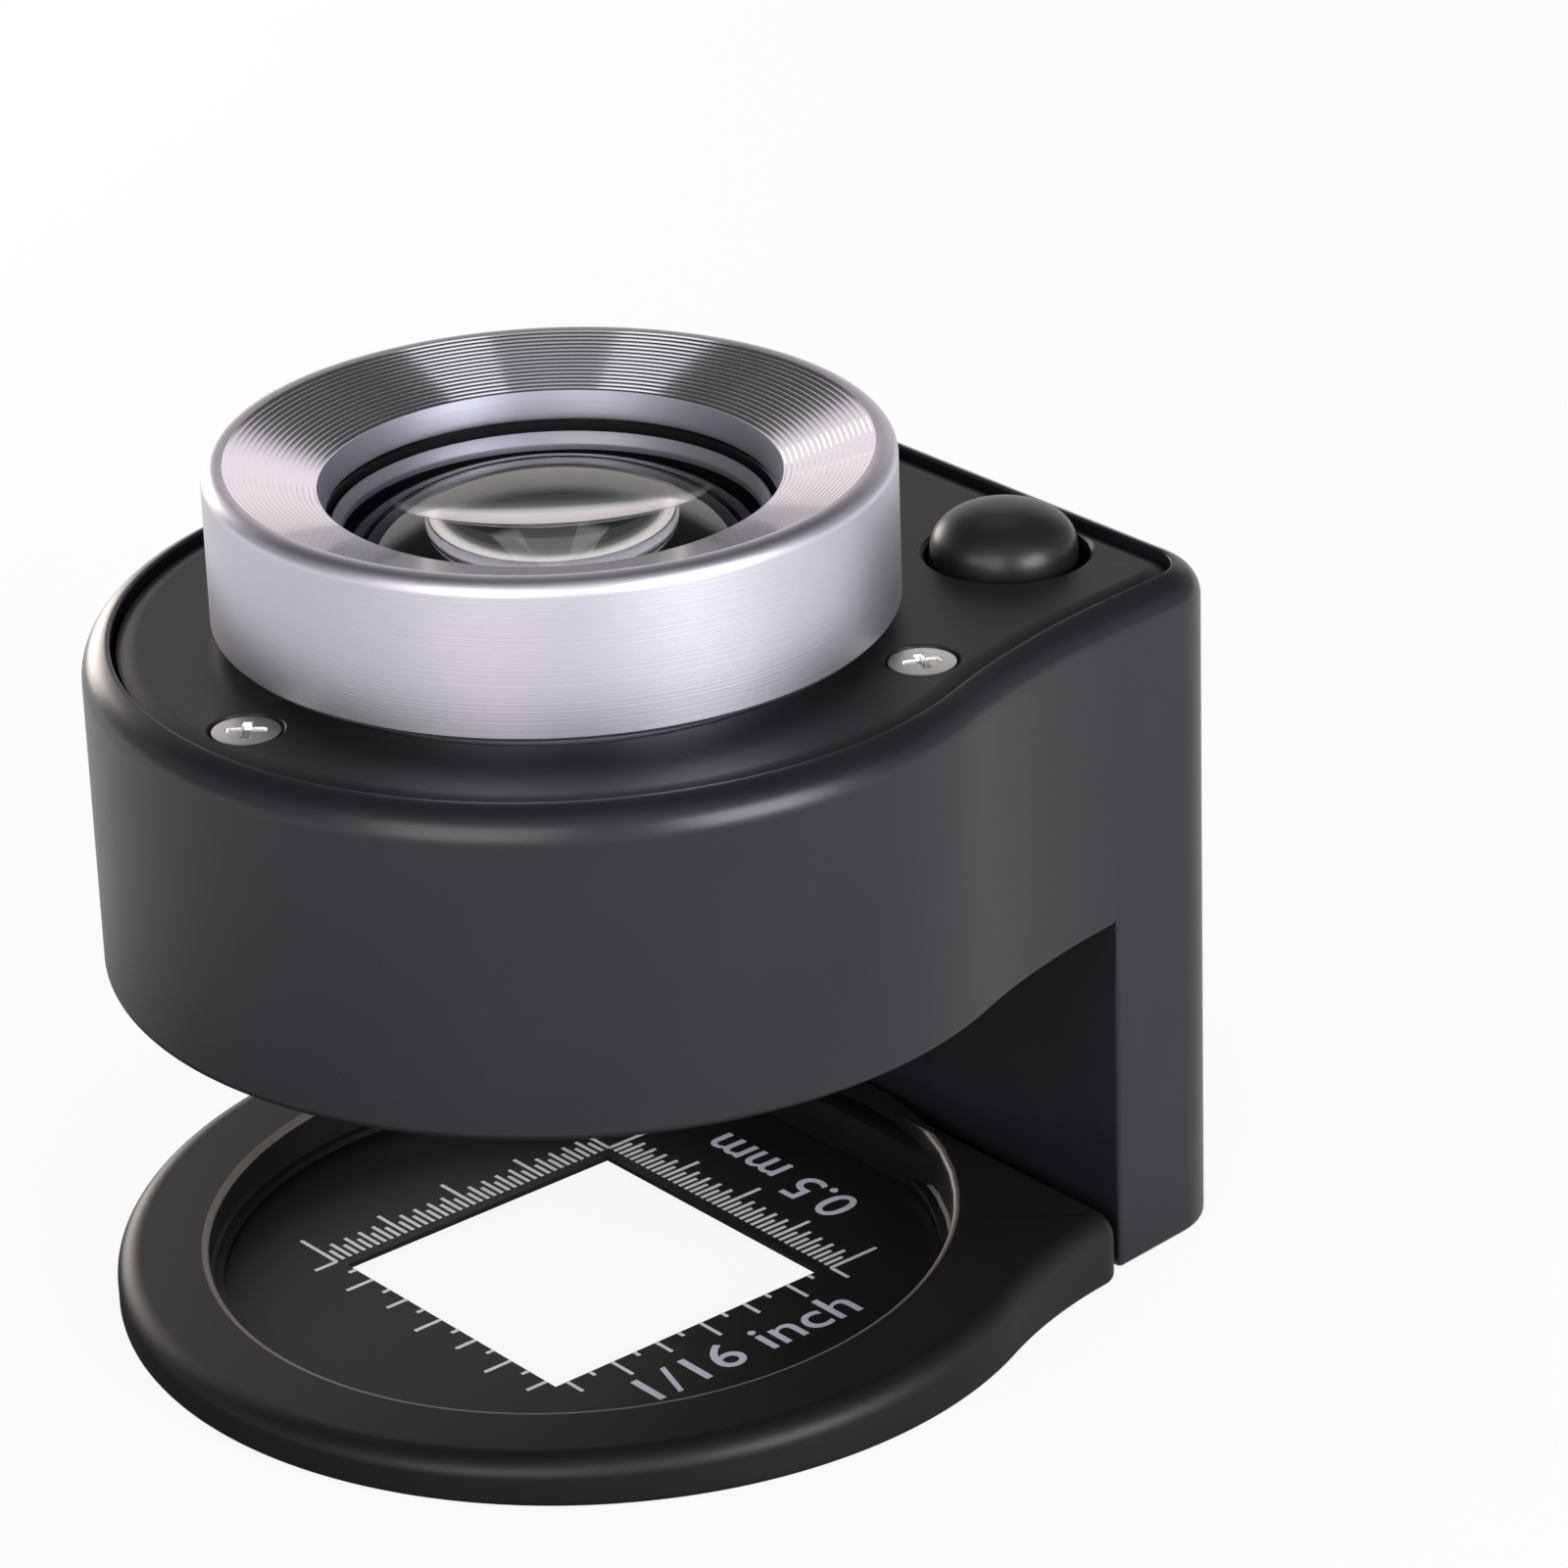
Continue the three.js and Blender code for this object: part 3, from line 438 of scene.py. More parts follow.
def soft_corner(start, end, point):
    """Four points of the curve (1 - s)^2 start + 2 s (1 - s) point + s^2 end."""
    s = np.linspace(0, 1, 6)[1:-1, None]
    return (1 - s) ** 2 * start + 2 * s * (1 - s) * point + s**2 * end


def leg_ring(inset, z, edge):
    """Ring round the leg: rear outline, then a curved corner, the front line and a curved corner."""
    front_y = LEG_FRONT + inset
    rear = keyhole(HEAD, inset, front_y)[RIGHT_SPLIT : LEFT_SPLIT + 1]
    line = front_line[::-1, :2] * (1, 0) + (0, front_y)
    left, right = rear[-1].copy(), rear[0].copy()
    slope, ends = unit(rear[1] - rear[0]) * edge, np.array([edge, 0])
    start_right, start_left = right + slope, left + slope * (-1, 1)
    line[:, 0] = np.clip(line[:, 0], left[0] + edge, right[0] - edge)
    ring = [
        [start_right], rear[1:-1], [start_left],
        soft_corner(start_left, left + ends, left), [left + ends],
        line, [right - ends], soft_corner(right - ends, start_right, right),
    ]
    return at_height(np.concatenate(ring), z)


def leg_rows():
    """Rings from the head down to the foot; the front edges round off a little below the head."""
    heights = np.linspace(FADE_FROM, FADE_TO, 9)
    edges = LEG_EDGE * smooth_step((FADE_FROM - heights) / (FADE_FROM - FADE_TO))
    rings = [leg_ring(0, z, edge) for z, edge in zip(heights, edges)]
    foot_edge = arc((FOOT_ROUND, FOOT_ROUND), FOOT_ROUND, 180, 270, 5)
    rings += [leg_ring(inset, z, LEG_EDGE) for inset, z in foot_edge]
    return np.stack(rings)


leg_grid = leg_rows()
leg_sheet = sheet(leg_grid)
foot_sheet = (leg_grid[-1], [np.arange(leg_grid.shape[1])])
print("leg grid:", leg_grid.shape[:2], "down to z =", leg_grid[..., 2].min())

# %% Assemble and cut the shell
CLEAR = 1
REBATE = ((-12.3, LEG_FRONT - CLEAR, -CLEAR), (12.3, 28.5, 3.3))
LAMP_X, LAMP_Y, LAMP_HOLE = 16.8, -3.0, 2.1


def box_sheet(low, high):
    """The six faces of a box between two corners, wound outwards."""
    x, y, z = np.meshgrid(*zip(low, high), indexing="ij")
    points = np.stack([x, y, z], axis=-1).reshape(-1, 3)
    faces = [(0, 1, 3, 2), (4, 6, 7, 5), (0, 4, 5, 1), (2, 3, 7, 6), (0, 2, 6, 4), (1, 5, 7, 3)]
    return points, np.array(faces)


def cutter(edge, low, high, centre, steps=64):
    """A turned cutter from low to high with an edge of (radius, z) points between."""
    profile = [(0, low), (edge[0][0], low), *edge, (edge[-1][0], high), (0, high)]
    return turned(profile, steps, centre)


shell = mesh_object("shell", head_sheet, *underside_sheets, leg_sheet, foot_sheet)
lamp_edge, low, high = [(LAMP_HOLE, FLOOR_TOP)], HEAD_BOTTOM - CLEAR, FLOOR_TOP + CLEAR
boolean(shell, box_sheet(*REBATE))
boolean(shell, *[cutter(lamp_edge, low, high, (side * LAMP_X, LAMP_Y)) for side in (-1, 1)])
finish(shell, black_plastic, "black_plastic", "housing_shell")

# %% [markdown]
# ## The cover plate
# The cover lies in the head with a thin gap all round, its edge sloping softly down to the gap. It is the
# same outline, a little smaller, joined row by row to the round hole for the sleeve. Countersunk holes, the
# button's hole and a short index groove are cut out afterwards.

# %% Cover plate
COVER_TOP, COVER_BOTTOM, COVER_INSET = 40.2, 38.6, 1.95
SLOPE_WIDTH, SLOPE_DROP, SLOPE_POWER = 1.2, 0.3, 1.6
SLEEVE_HOLE, SCREW_CIRCLE, SCREW_ANGLES = 16.9, 20.95, (-90, 30, 150)
BUTTON, BUTTON_HOLE = (9.95, 23.75), (10.1, 23.85)
COUNTERSINK = [(1.1, -1.2), (2.0, -0.28), (2.06, -0.06), (2.2, 0.08)]
BUTTON_EDGE = [(4.65, -0.2), (4.87, 0.02)]
GROOVE = ((-2.35, 18, 39.7), (-1.45, 25.3, 41))

cover_plastic = surface(
    "cover plastic", (0.008, 0.0075, 0.0095), (0.012, 0.011, 0.014), 0.38, 0.48, Specular_IOR_Level=0.36,
)


def cover_rows():
    """Closed rows: sleeve hole, top, edge that drops with a power of the way outwards, side, underside."""
    hole = [(SLEEVE_HOLE, COVER_BOTTOM), (SLEEVE_HOLE, COVER_TOP)]
    slope = [
        (COVER_INSET + SLOPE_WIDTH * (1 - way), COVER_TOP - SLOPE_DROP * way**SLOPE_POWER)
        for way in np.linspace(0, 1, 7)
    ]
    rows = circle_rows(keyhole(HEAD, COVER_INSET), hole)
    return np.stack(rows + outline_rows(HEAD, [*slope, (COVER_INSET, COVER_BOTTOM)]))


def screw_place(angle):
    """Point on the screws' circle."""
    return SCREW_CIRCLE * math.cos(math.radians(angle)), SCREW_CIRCLE * math.sin(math.radians(angle))


def cover_cutter(edge, centre, steps=64):
    """A cutter through the cover, its edge given as (radius, height over the cover's top)."""
    edge = [(radius, COVER_TOP + over) for radius, over in edge]
    return cutter(edge, COVER_BOTTOM - CLEAR, COVER_TOP + CLEAR, centre, steps)


cover = mesh_object("cover", sheet(cover_rows(), closed_rows=True))
screw_cutters = [cover_cutter(COUNTERSINK, screw_place(angle)) for angle in SCREW_ANGLES]
boolean(cover, *screw_cutters, cover_cutter(BUTTON_EDGE, BUTTON_HOLE, 96), box_sheet(*GROOVE))
finish(cover, cover_plastic, "black_plastic", "top_cover", sharp=25)

# %% [markdown]
# ## The base plate
# The base is a wedge: its height grows in a straight line towards the leg. In it is a round well, its centre
# a little in front of the line of sight, with a narrow lip near the bottom under which the printed disc
# lies. Behind, a tongue goes into the foot of the leg.

# %% Base plate
BASE_HEIGHT, BASE_SLOPE, BASE_ROUND, BASE_FOOT_ROUND = 3.5, 0.035, 1.4, 0.4
WELL_CENTRE, WELL_RADIUS, WELL_EDGE, WELL_FOOT = (0, -0.45), 21.1, 0.42, 0.2
LIP_RADIUS, LIP_TOP, SEAT_RADIUS, SEAT_TOP = 20.4, 1.1, 21.2, 0.7
TONGUE = ((-12, 19, 0.3), (12, 28.2, 3.0))
FOOT_SCREWS, FOOT_SCREW_FACE = ((-7, 25.2), (7, 25.2)), 0.4
FOOT_SCREW_SEAT = [(2.15, 0.22), (2.02, 0.36), (1.98, 0.66), (1.1, 1.55)]

base_plastic = surface(
    "moulded black plastic of the base", (0.0065, 0.0060, 0.0074), (0.0100, 0.0093, 0.0112), 0.40, 0.48,
    Specular_IOR_Level=0.36,
)


def wedge(row):
    """Lifts a row: z grows by the factor 1 + slope y / height."""
    return row * np.column_stack([np.ones((len(row), 2)), 1 + BASE_SLOPE * row[:, 1] / BASE_HEIGHT])


def base_rows():
    """Closed rows: seat, lip, well wall with a rounded rim, top, rounded outer edge, foot."""
    like = keyhole(BASE)
    well = [
        (SEAT_RADIUS, 0), (SEAT_RADIUS, SEAT_TOP), (LIP_RADIUS, SEAT_TOP), (LIP_RADIUS, LIP_TOP),
        (WELL_RADIUS - WELL_FOOT, LIP_TOP), (WELL_RADIUS, LIP_TOP + WELL_FOOT),
    ]
    rim = arc((WELL_RADIUS + WELL_EDGE, BASE_HEIGHT - WELL_EDGE), WELL_EDGE, 180, 90, 5)
    top = arc((BASE_ROUND, BASE_HEIGHT - BASE_ROUND), BASE_ROUND, 90, 180, 12)
    foot = arc((BASE_FOOT_ROUND, BASE_FOOT_ROUND), BASE_FOOT_ROUND, 180, 270, 4)
    upper = circle_rows(like, rim, WELL_CENTRE) + outline_rows(BASE, top)
    rows = circle_rows(like, well, WELL_CENTRE) + [wedge(row) for row in upper]
    return np.stack(rows + outline_rows(BASE, foot))


base = mesh_object("base", sheet(base_rows(), closed_rows=True))
boolean(base, box_sheet(*TONGUE), operation="UNION")
boolean(base, *[cutter(FOOT_SCREW_SEAT, -CLEAR, BASE_HEIGHT, place) for place in FOOT_SCREWS])
finish(base, base_plastic, "black_plastic", "base_plate", sharp=25)

# %% Painted highlight on the rim of the well
def face_places(piece, centre=(0, 0)):
    """Distance from an upright axis and height of every face's middle, in millimetres."""
    flat = np.empty(len(piece.data.polygons) * 3)
    piece.data.polygons.foreach_get("center", flat)
    x, y, z = ((flat.reshape(-1, 3) - (0, AXIS_Y, 0)) / MM).T
    return np.hypot(x - centre[0], y - centre[1]), z


def repaint(piece, index, *materials):
    """Adds materials and gives every face the one of its index, where 0 is the first material."""
    for material in materials:
        piece.data.materials.append(material)
    piece.data.polygons.foreach_set("material_index", index.astype(np.int32))


# Faces on the rounded rim of the well get a lighter, brownish material: a painted highlight for the light line
# along the rim.
RIM_HIGHLIGHT_FROM = 0.1
painted_rim_highlight = surface(
    "painted highlight on the well's rim", (0.120, 0.098, 0.085), (0.170, 0.142, 0.124), 0.34, 0.42, depth=0.2,
)
distance, height = face_places(base, WELL_CENTRE)
share = (distance - WELL_RADIUS) / WELL_EDGE
rim_highlight_faces = (share > RIM_HIGHLIGHT_FROM) & (share < 1) & (height > BASE_HEIGHT / 2)
repaint(base, rim_highlight_faces, painted_rim_highlight)
print("faces of the painted rim highlight:", rim_highlight_faces.sum())

# %% [markdown]
# ## The scale disc
# A disc with a square hole is one strip: a point on the circle and the point on the square in the same
# direction. The steps are a multiple of eight, so four of them fall exactly on the corners of the window.

# %% Disc with a square window
DISC_RADIUS, DISC_BOTTOM, DISC_TOP, DISC_EDGE, DISC_STEPS = 20.9, 0.1, 0.4, 0.04, 256
WINDOW, WINDOW_SIDE = np.array([0.5, -0.9]), 19.05

printed_black = surface(
    "printed black disc", (0.0075, 0.007, 0.0065), (0.0115, 0.011, 0.010),
    0.36, 0.46, 2500.0, 0.1, Specular_IOR_Level=0.4,
)


def disc_rows():
    """Closed rows: circle below and above, square above and below, its radius half / max(|cos|, |sin|)."""
    angle = 2 * np.pi * np.arange(DISC_STEPS) / DISC_STEPS
    way = np.stack([np.cos(angle), np.sin(angle)], axis=-1)
    circle = WELL_CENTRE + DISC_RADIUS * way
    square = WINDOW + WINDOW_SIDE / 2 * way / np.abs(way).max(axis=1, keepdims=True)
    return np.stack([
        at_height(circle, DISC_BOTTOM), at_height(circle, DISC_TOP - DISC_EDGE),
        at_height(circle - DISC_EDGE * way, DISC_TOP),
        at_height(square, DISC_TOP), at_height(square, DISC_BOTTOM),
    ])


disc = mesh_object("disc", sheet(disc_rows(), closed_rows=True))
finish(disc, printed_black, "printed_plastic", "scale_disc")

# %% [markdown]
# ## The printed scales
# Ink stands on the disc, so every line is a bar 0.02 mm high. The half millimetre scales run along two sides
# of the window from their shared corner, the sixteenth inch scales along the other two. All bars are made at
# once: arrays of their low and high corners become an array of box corners.

# %% Bars of ink
INK_HEIGHT, INK_WIDTH, INK_OVERHANG = 0.02, 0.23, 0.72
HALF_WINDOW = WINDOW_SIDE / 2

white_ink = surface("white ink", (0.86, 0.87, 0.90), (0.95, 0.95, 0.97), 0.45, 0.6, 9000.0, 0.1)


def bars(low, high):
    """Boxes between arrays of low and high (x, y) corners, standing on the disc, as one sheet."""
    low = np.column_stack([low, np.full(len(low), DISC_TOP)])
    high = np.column_stack([high, np.full(len(high), DISC_TOP + INK_HEIGHT)])
    cube, faces = box_sheet((0, 0, 0), (1, 1, 1))
    points = low[:, None] + cube * (high - low)[:, None]
    starts = len(cube) * np.arange(len(low))[:, None, None]
    return points.reshape(-1, 3), (faces + starts).reshape(-1, 4)


def ticks(along, start, lengths, direction, axis):
    """Bars centred at along on one axis, from start over lengths in a direction on the other axis."""
    low, high = np.empty((len(along), 2)), np.empty((len(along), 2))
    low[:, axis], high[:, axis] = along - INK_WIDTH / 2, along + INK_WIDTH / 2
    ends = start + direction * lengths
    low[:, 1 - axis], high[:, 1 - axis] = np.minimum(start, ends), np.maximum(start, ends)
    return low + WINDOW, high + WINDOW


MM_STEPS, INCH_STEPS = np.arange(41), np.arange(1, 13)
MM_LENGTHS = np.select([MM_STEPS % 40 == 0, MM_STEPS % 20 == 0, MM_STEPS % 10 == 0, MM_STEPS % 2 == 0],
                       [3.4, 3.2, 2.7, 1.9], 1.3)
INCH_PLACES = (INCH_STEPS - 6.5) * 25.4 / 16
INCH_LENGTHS = np.select([INCH_STEPS % 4 == 2, INCH_STEPS % 4 == 0], [1.85, 1.4], 0.5)
CORNER, END_GAP, END_LENGTH = HALF_WINDOW + INK_OVERHANG, 0.25, 1.5
scale_bars = [
    ticks(-CORNER + MM_STEPS / 2, CORNER, MM_LENGTHS, 1, 0),
    ticks(CORNER - MM_STEPS / 2, -CORNER, MM_LENGTHS, -1, 1),
    ticks(INCH_PLACES, -HALF_WINDOW, INCH_LENGTHS, -1, 0),
    ticks(-INCH_PLACES, HALF_WINDOW, INCH_LENGTHS, 1, 1),
    ticks(np.array([CORNER]), HALF_WINDOW + END_GAP, END_LENGTH, 1, 1),
    ticks(np.array([-CORNER]), -HALF_WINDOW - END_GAP, END_LENGTH, -1, 0),
]
scales = mesh_object("scales", *[bars(low, high) for low, high in scale_bars])
finish(scales, white_ink, "printed_plastic")

# %% [markdown]
# ## The two legends
# The legends name the two scales. Letters are made as a text, turned into a mesh, and then laid on the disc
# by their own measure: the height of a figure and the length of the line are stretched to the printed ones.

# %% Legends
LETTER_DEPTH, LETTER_STEPS, BOLDNESS, FIRST_FIGURE = 0.5, 8, 0.004, 0.3

lavender_ink = surface("lavender ink", (0.72, 0.76, 0.95), (0.82, 0.86, 1.0), 0.45, 0.6, 9000.0, 0.1)


def legend(name, words, start, reading, cap_height, length):
    """Lays words on the disc: start is the foot of the first letter, reading the direction of the line."""
    curve = bpy.data.curves.new(name, "FONT")
    curve.body, curve.extrude, curve.resolution_u, curve.offset = words, LETTER_DEPTH, LETTER_STEPS, BOLDNESS
    text = placed(name, curve)
    mesh = bpy.data.meshes.new_from_object(text.evaluated_get(bpy.context.evaluated_depsgraph_get()))
    bpy.data.objects.remove(text)
    flat = np.empty(len(mesh.vertices) * 3)
    mesh.vertices.foreach_get("co", flat)
    u, v, w = flat.reshape(-1, 3).T
    along = (u - u.min()) / np.ptp(u) * length
    upwards = v / v[u < u.min() + FIRST_FIGURE].max() * cap_height
    place = WINDOW + start + np.outer(along, reading) + np.outer(upwards, (-reading[1], reading[0]))
    points = in_frame(np.column_stack([place, DISC_TOP + INK_HEIGHT * (w > 0)]))
    mesh.vertices.foreach_set("co", points.ravel())
    mesh.update()
    finish(placed(name, mesh), lavender_ink, "printed_plastic")


legend("legend_millimetre", "0.5 mm", (5.25, 16.6), (-1, 0), 2.65, 12.05)
legend("legend_inch", "1/16 inch", (14.6, -6.25), (0, 1), 2.6, 14.75)

# %% [markdown]
# ## The focusing barrel
# The barrel is turned from aluminium: a short drum with a rounded upper edge, a conical mouth with fine
# turning grooves, a satin bevel and a lip. The grooves are in the profile itself, each a shallow hollow,
# because at this size they catch the light one by one; a bump map would blur them.

# %% Barrel
BARREL_RADIUS, BARREL_BOTTOM, BARREL_TOP, BARREL_ROUND, BARREL_BEVEL = 18.8, 41.2, 50.25, 0.9, 0.3
MOUTH_RADIUS, MOUTH_TOP, THROAT_RADIUS, THROAT_TOP = 17.6, 50.2, 12.6, 48.55
LIP_EDGE_RADIUS, LIP_EDGE_TOP, LIP_EDGE_BOTTOM = 12.2, 47.4, 47.05
BORE_RADIUS, SLEEVE_RADIUS, SLEEVE_BOTTOM, RETAINER_GROOVE, RETAINER_TOP = 13.2, 16.3, 33.0, 14.0, 36.0
GROOVES, GROOVE_POINTS, GROOVE_DEPTH, LAND = 16, 16, 0.032, 0.46

TURNED = dict(group=turned_lines, Metallic=1.0)
aluminium = surface(
    "satin aluminium", (0.67, 0.64, 0.72), (0.75, 0.72, 0.80), 0.38, 0.46, 9000.0, 0.35, **TURNED,
)
bright_aluminium = surface(
    "bright turned aluminium", (0.90, 0.86, 0.94), (0.97, 0.93, 1.0), 0.05, 0.08, 9000.0, 0.0, **TURNED,
)
satin_silver = surface(
    "satin silver", (0.36, 0.36, 0.42), (0.44, 0.44, 0.51), 0.48, 0.56, 9000.0, 0.3, **TURNED,
)


def mouth_profile():
    """The cone from mouth to throat: flat lands, and between them hollows of the depth times sin squared."""
    way = np.linspace(0, 1, GROOVES * GROOVE_POINTS + 1)
    in_groove = np.clip((way * GROOVES % 1 - LAND) / (1 - LAND), 0, 1)
    hollow = GROOVE_DEPTH * np.sin(np.pi * in_groove) ** 2
    radius = MOUTH_RADIUS + (THROAT_RADIUS - MOUTH_RADIUS) * way
    height = MOUTH_TOP + (THROAT_TOP - MOUTH_TOP) * way - hollow
    return np.column_stack([radius, height])


barrel_profile = [
    (BORE_RADIUS, LIP_EDGE_BOTTOM), (BORE_RADIUS, RETAINER_TOP), (RETAINER_GROOVE, RETAINER_TOP),
    (RETAINER_GROOVE, SLEEVE_BOTTOM), (SLEEVE_RADIUS, SLEEVE_BOTTOM), (SLEEVE_RADIUS, BARREL_BOTTOM),
    (BARREL_RADIUS - BARREL_BEVEL, BARREL_BOTTOM), (BARREL_RADIUS, BARREL_BOTTOM + BARREL_BEVEL),
    *arc((BARREL_RADIUS - BARREL_ROUND, BARREL_TOP - BARREL_ROUND), BARREL_ROUND, 0, 90, 10),
    *mouth_profile(), (LIP_EDGE_RADIUS, LIP_EDGE_TOP), (LIP_EDGE_RADIUS, LIP_EDGE_BOTTOM),
]
barrel = mesh_object("barrel", turned(barrel_profile, closed=True))
finish(barrel, aluminium, "turned_aluminium", "focus_barrel", body="barrel", sharp=25)

distance, height = face_places(barrel)
in_mouth = (distance < MOUTH_RADIUS) & (height > LIP_EDGE_BOTTOM)
in_cone = in_mouth & (height > THROAT_TOP - GROOVE_DEPTH)
repaint(barrel, in_mouth.astype(np.int32) + in_cone, satin_silver, bright_aluminium)
print("faces of the bevel and the cone:", (in_mouth & ~in_cone).sum(), in_cone.sum())

# %% [markdown]
# ## Lens cell and rings
# Inside the barrel a black anodised cell holds the lenses. Above the upper lens lies a bright ring whose
# upper face slopes towards the glass; looking in from the side it is the silver line over a dark gap.

# %% Cell, spacer and rings
RING_STEPS = 192
black_anodised = surface(
    "black anodised aluminium", (0.008, 0.008, 0.009), (0.014, 0.014, 0.015), 0.3, 0.42, 7000.0, 0.3,
    turned_lines, Metallic=0.3,
)
RINGS = [
    ("cell", "lens_cell", "lens_group", [
        (11.6, 36.0), (12.75, 36.0), (12.9, 36.15), (12.9, 46.6), (12.75, 46.75), (12.38, 46.75),
        (12.3, 46.67), (12.3, 43.6), (11.0, 43.6), (11.0, 41.6), (11.6, 41.6),
    ]),
    ("silver_ring", "upper_retaining_ring", "lens_group", [
        (11.5, 45.45), (12.0, 45.45), (12.0, 46.33), (11.95, 46.4), (11.88, 46.4), (11.53, 45.85),
        (11.5, 45.75),
    ]),
    ("spacer", "lens_spacer", "lens_group", [(10.6, 38.9), (11.3, 38.9), (11.3, 41.3), (10.6, 41.3)]),
    ("lower_ring", "lower_retaining_ring", "lens_group", [
        (10.4, 36.05), (11.2, 36.05), (11.3, 36.15), (11.3, 36.75), (10.7, 36.75), (10.4, 36.45),
    ]),
    ("retainer", "cell_retainer", "barrel", [
        (11.8, 34.4), (13.6, 34.4), (13.7, 34.5), (13.7, 35.7), (11.8, 35.7),
    ]),
]
for name, node_name, body, profile in RINGS:
    silver = name == "silver_ring"
    material, slot = (satin_silver, "turned_aluminium") if silver else (black_anodised, "black_anodised")
    finish(mesh_object(name, turned(profile, RING_STEPS, closed=True)), material, slot, node_name, body=body)

# %% [markdown]
# ## The lenses
# Each lens is turned, with one flat face and one that is the cap of a sphere. Glass is all about clean
# normals: the cap has many rows, and only the ground edge is sharp. The glass is a clear Principled material
# with full transmission and the index of a dense glass; fine dust shows as a little roughness.

# %% Lenses
CAP_ROWS = 40
LENSES = [
    ("eye_lens", "upper_lens", 12.0, 43.9, 44.6, 3.55, 1),
    ("field_lens", "lower_lens", 11.3, 38.6, 37.5, 2.4, -1),
]

glass = surface(
    "lens glass", (0.97, 0.96, 0.95), (1.0, 0.99, 0.98), 0.0, 0.02, 300.0, 0.0,
    Transmission_Weight=1.0, IOR=1.68, Coat_Weight=0.15, Coat_IOR=1.8, Coat_Roughness=0.04,
)


def lens_profile(rim, flat_z, edge_z, height, side):
    """Flat face, edge, and the cap of a sphere of radius (rim^2 + height^2) / (2 height), up or down."""
    sphere = (rim**2 + height**2) / (2 * height)
    angle = np.linspace(math.asin(rim / sphere), 0, CAP_ROWS)
    rise = sphere * np.cos(angle) - sphere + height
    cap = np.column_stack([sphere * np.sin(angle), edge_z + side * rise])
    return np.concatenate([[(0, flat_z), (rim, flat_z)], cap])


for name, node_name, *sizes in LENSES:
    lens = mesh_object(name, turned(lens_profile(*sizes), RING_STEPS))
    finish(lens, glass, "lens_glass", node_name, body="lens_group")

# %% [markdown]
# ## The push button
# The button is a soft dome, fuller than a ball: its height follows a superellipse, so the top is broad and
# the sides fall steeply into the hole. A flange under the cover keeps it in.

# %% Push button
BUTTON_RADIUS, DOME_HEIGHT, DOME_POWER, DOME_ROWS = 4.15, 2.65, 2.35, 32
STEM = [(0, 34.0), (1.5, 34.0), (1.5, 37.3), (5.0, 37.3), (5.0, 38.3), (BUTTON_RADIUS, 38.3)]


def dome(radius, base_z, height, power):
    """z = base + height (1 - (r / R)^n)^(1 / n), spaced evenly in angle, from the rim to the axis."""
    angle = np.linspace(0, np.pi / 2, DOME_ROWS)
    r, z = np.cos(angle) ** (2 / power), np.sin(angle) ** (2 / power)
    r[-1] = 0
    return np.column_stack([radius * r, base_z + height * z])


button_plastic = surface(
    "button plastic", (0.010, 0.010, 0.011), (0.016, 0.015, 0.016), 0.30, 0.40, depth=0.2,
)
button_profile = [*STEM, *dome(BUTTON_RADIUS, COVER_TOP, DOME_HEIGHT, DOME_POWER)]
button = mesh_object("button", turned(button_profile, 128, BUTTON))
finish(button, button_plastic, "black_plastic", "button_cap", body="push_button")

# %% [markdown]
# ## Countersunk screws
# A screw is one grid from the middle of its head over the edge, down the cone and the shank to the tip. The
# cross recess is a height field: two arms whose walls are smooth steps of the distance to the arm's edge.

# %% Screws
SCREW_STEPS, HEAD_RINGS = 144, 44
ARM_LENGTH, ARM_WIDTH, RECESS_DEPTH, WALL, TAPER = 1.1, 0.2, 0.62, 0.07, 0.35
CROWN, CROWN_EDGE, CONE_END, SHANK, TIP = 0.05, 0.08, 1.1, 0.9, 0.6
COVER_SCREW, FOOT_SCREW = dict(head=1.85, length=7.5), dict(head=1.9, length=5.5)

nickel = surface(
    "nickel plate", (0.76, 0.76, 0.73), (0.88, 0.88, 0.85), 0.30, 0.42, 4000.0, 0.12, Metallic=1.0,
)


def arm(along, across):
    """Depth of one arm of the cross: a step along it times a step across it, shallower towards its end."""
    inside = smooth_step((ARM_LENGTH - np.abs(along)) / (3 * WALL))
    inside *= smooth_step((ARM_WIDTH + WALL - np.abs(across)) / WALL)
    return RECESS_DEPTH * inside * (1 - TAPER * np.abs(along) / ARM_LENGTH)


def screw_sheet(place, top, turn, head, length, up=1):
    """Rings: head with the recess, edge, cone, shank and tip, turned by an angle; up = -1 points it down."""
    angle = 2 * np.pi * np.arange(SCREW_STEPS) / SCREW_STEPS
    face = np.linspace(0, head - CROWN_EDGE, HEAD_RINGS)
    rings = np.array([
        *zip(face, -CROWN * (face / head) ** 2), (head, -0.06), (head, -0.2), (SHANK, -CONE_END),
        (SHANK, TIP - length), (SHANK / 2, -length), (0, -length),
    ])
    x, y = rings[:, :1] * np.cos(angle), rings[:, :1] * np.sin(angle)
    on_face = np.arange(len(rings))[:, None] < HEAD_RINGS
    z = rings[:, 1:] - on_face * np.maximum(arm(x, y), arm(y, x))
    c, s = math.cos(math.radians(turn)), math.sin(math.radians(turn))
    return sheet(np.stack([place[0] + c * x - s * y, place[1] + s * x + c * y, top + up * z], axis=-1))


def screw(name, number, node_name, *place, **sizes):
    """One finished screw, named with its number."""
    made = mesh_object(f"{name}_{number}", screw_sheet(*place, **sizes))
    finish(made, nickel, "nickel", f"{node_name}_{number}", sharp=40)


for number, (angle, turn) in enumerate(zip(SCREW_ANGLES, (50, 64, 35)), start=1):
    screw("screw", number, "cover_screw", screw_place(angle), COVER_TOP - CROWN, turn, **COVER_SCREW)
for number, (place, turn) in enumerate(zip(FOOT_SCREWS, (20, 70)), start=1):
    screw("foot_screw", number, "base_screw", place, FOOT_SCREW_FACE, turn, **FOOT_SCREW, up=-1)

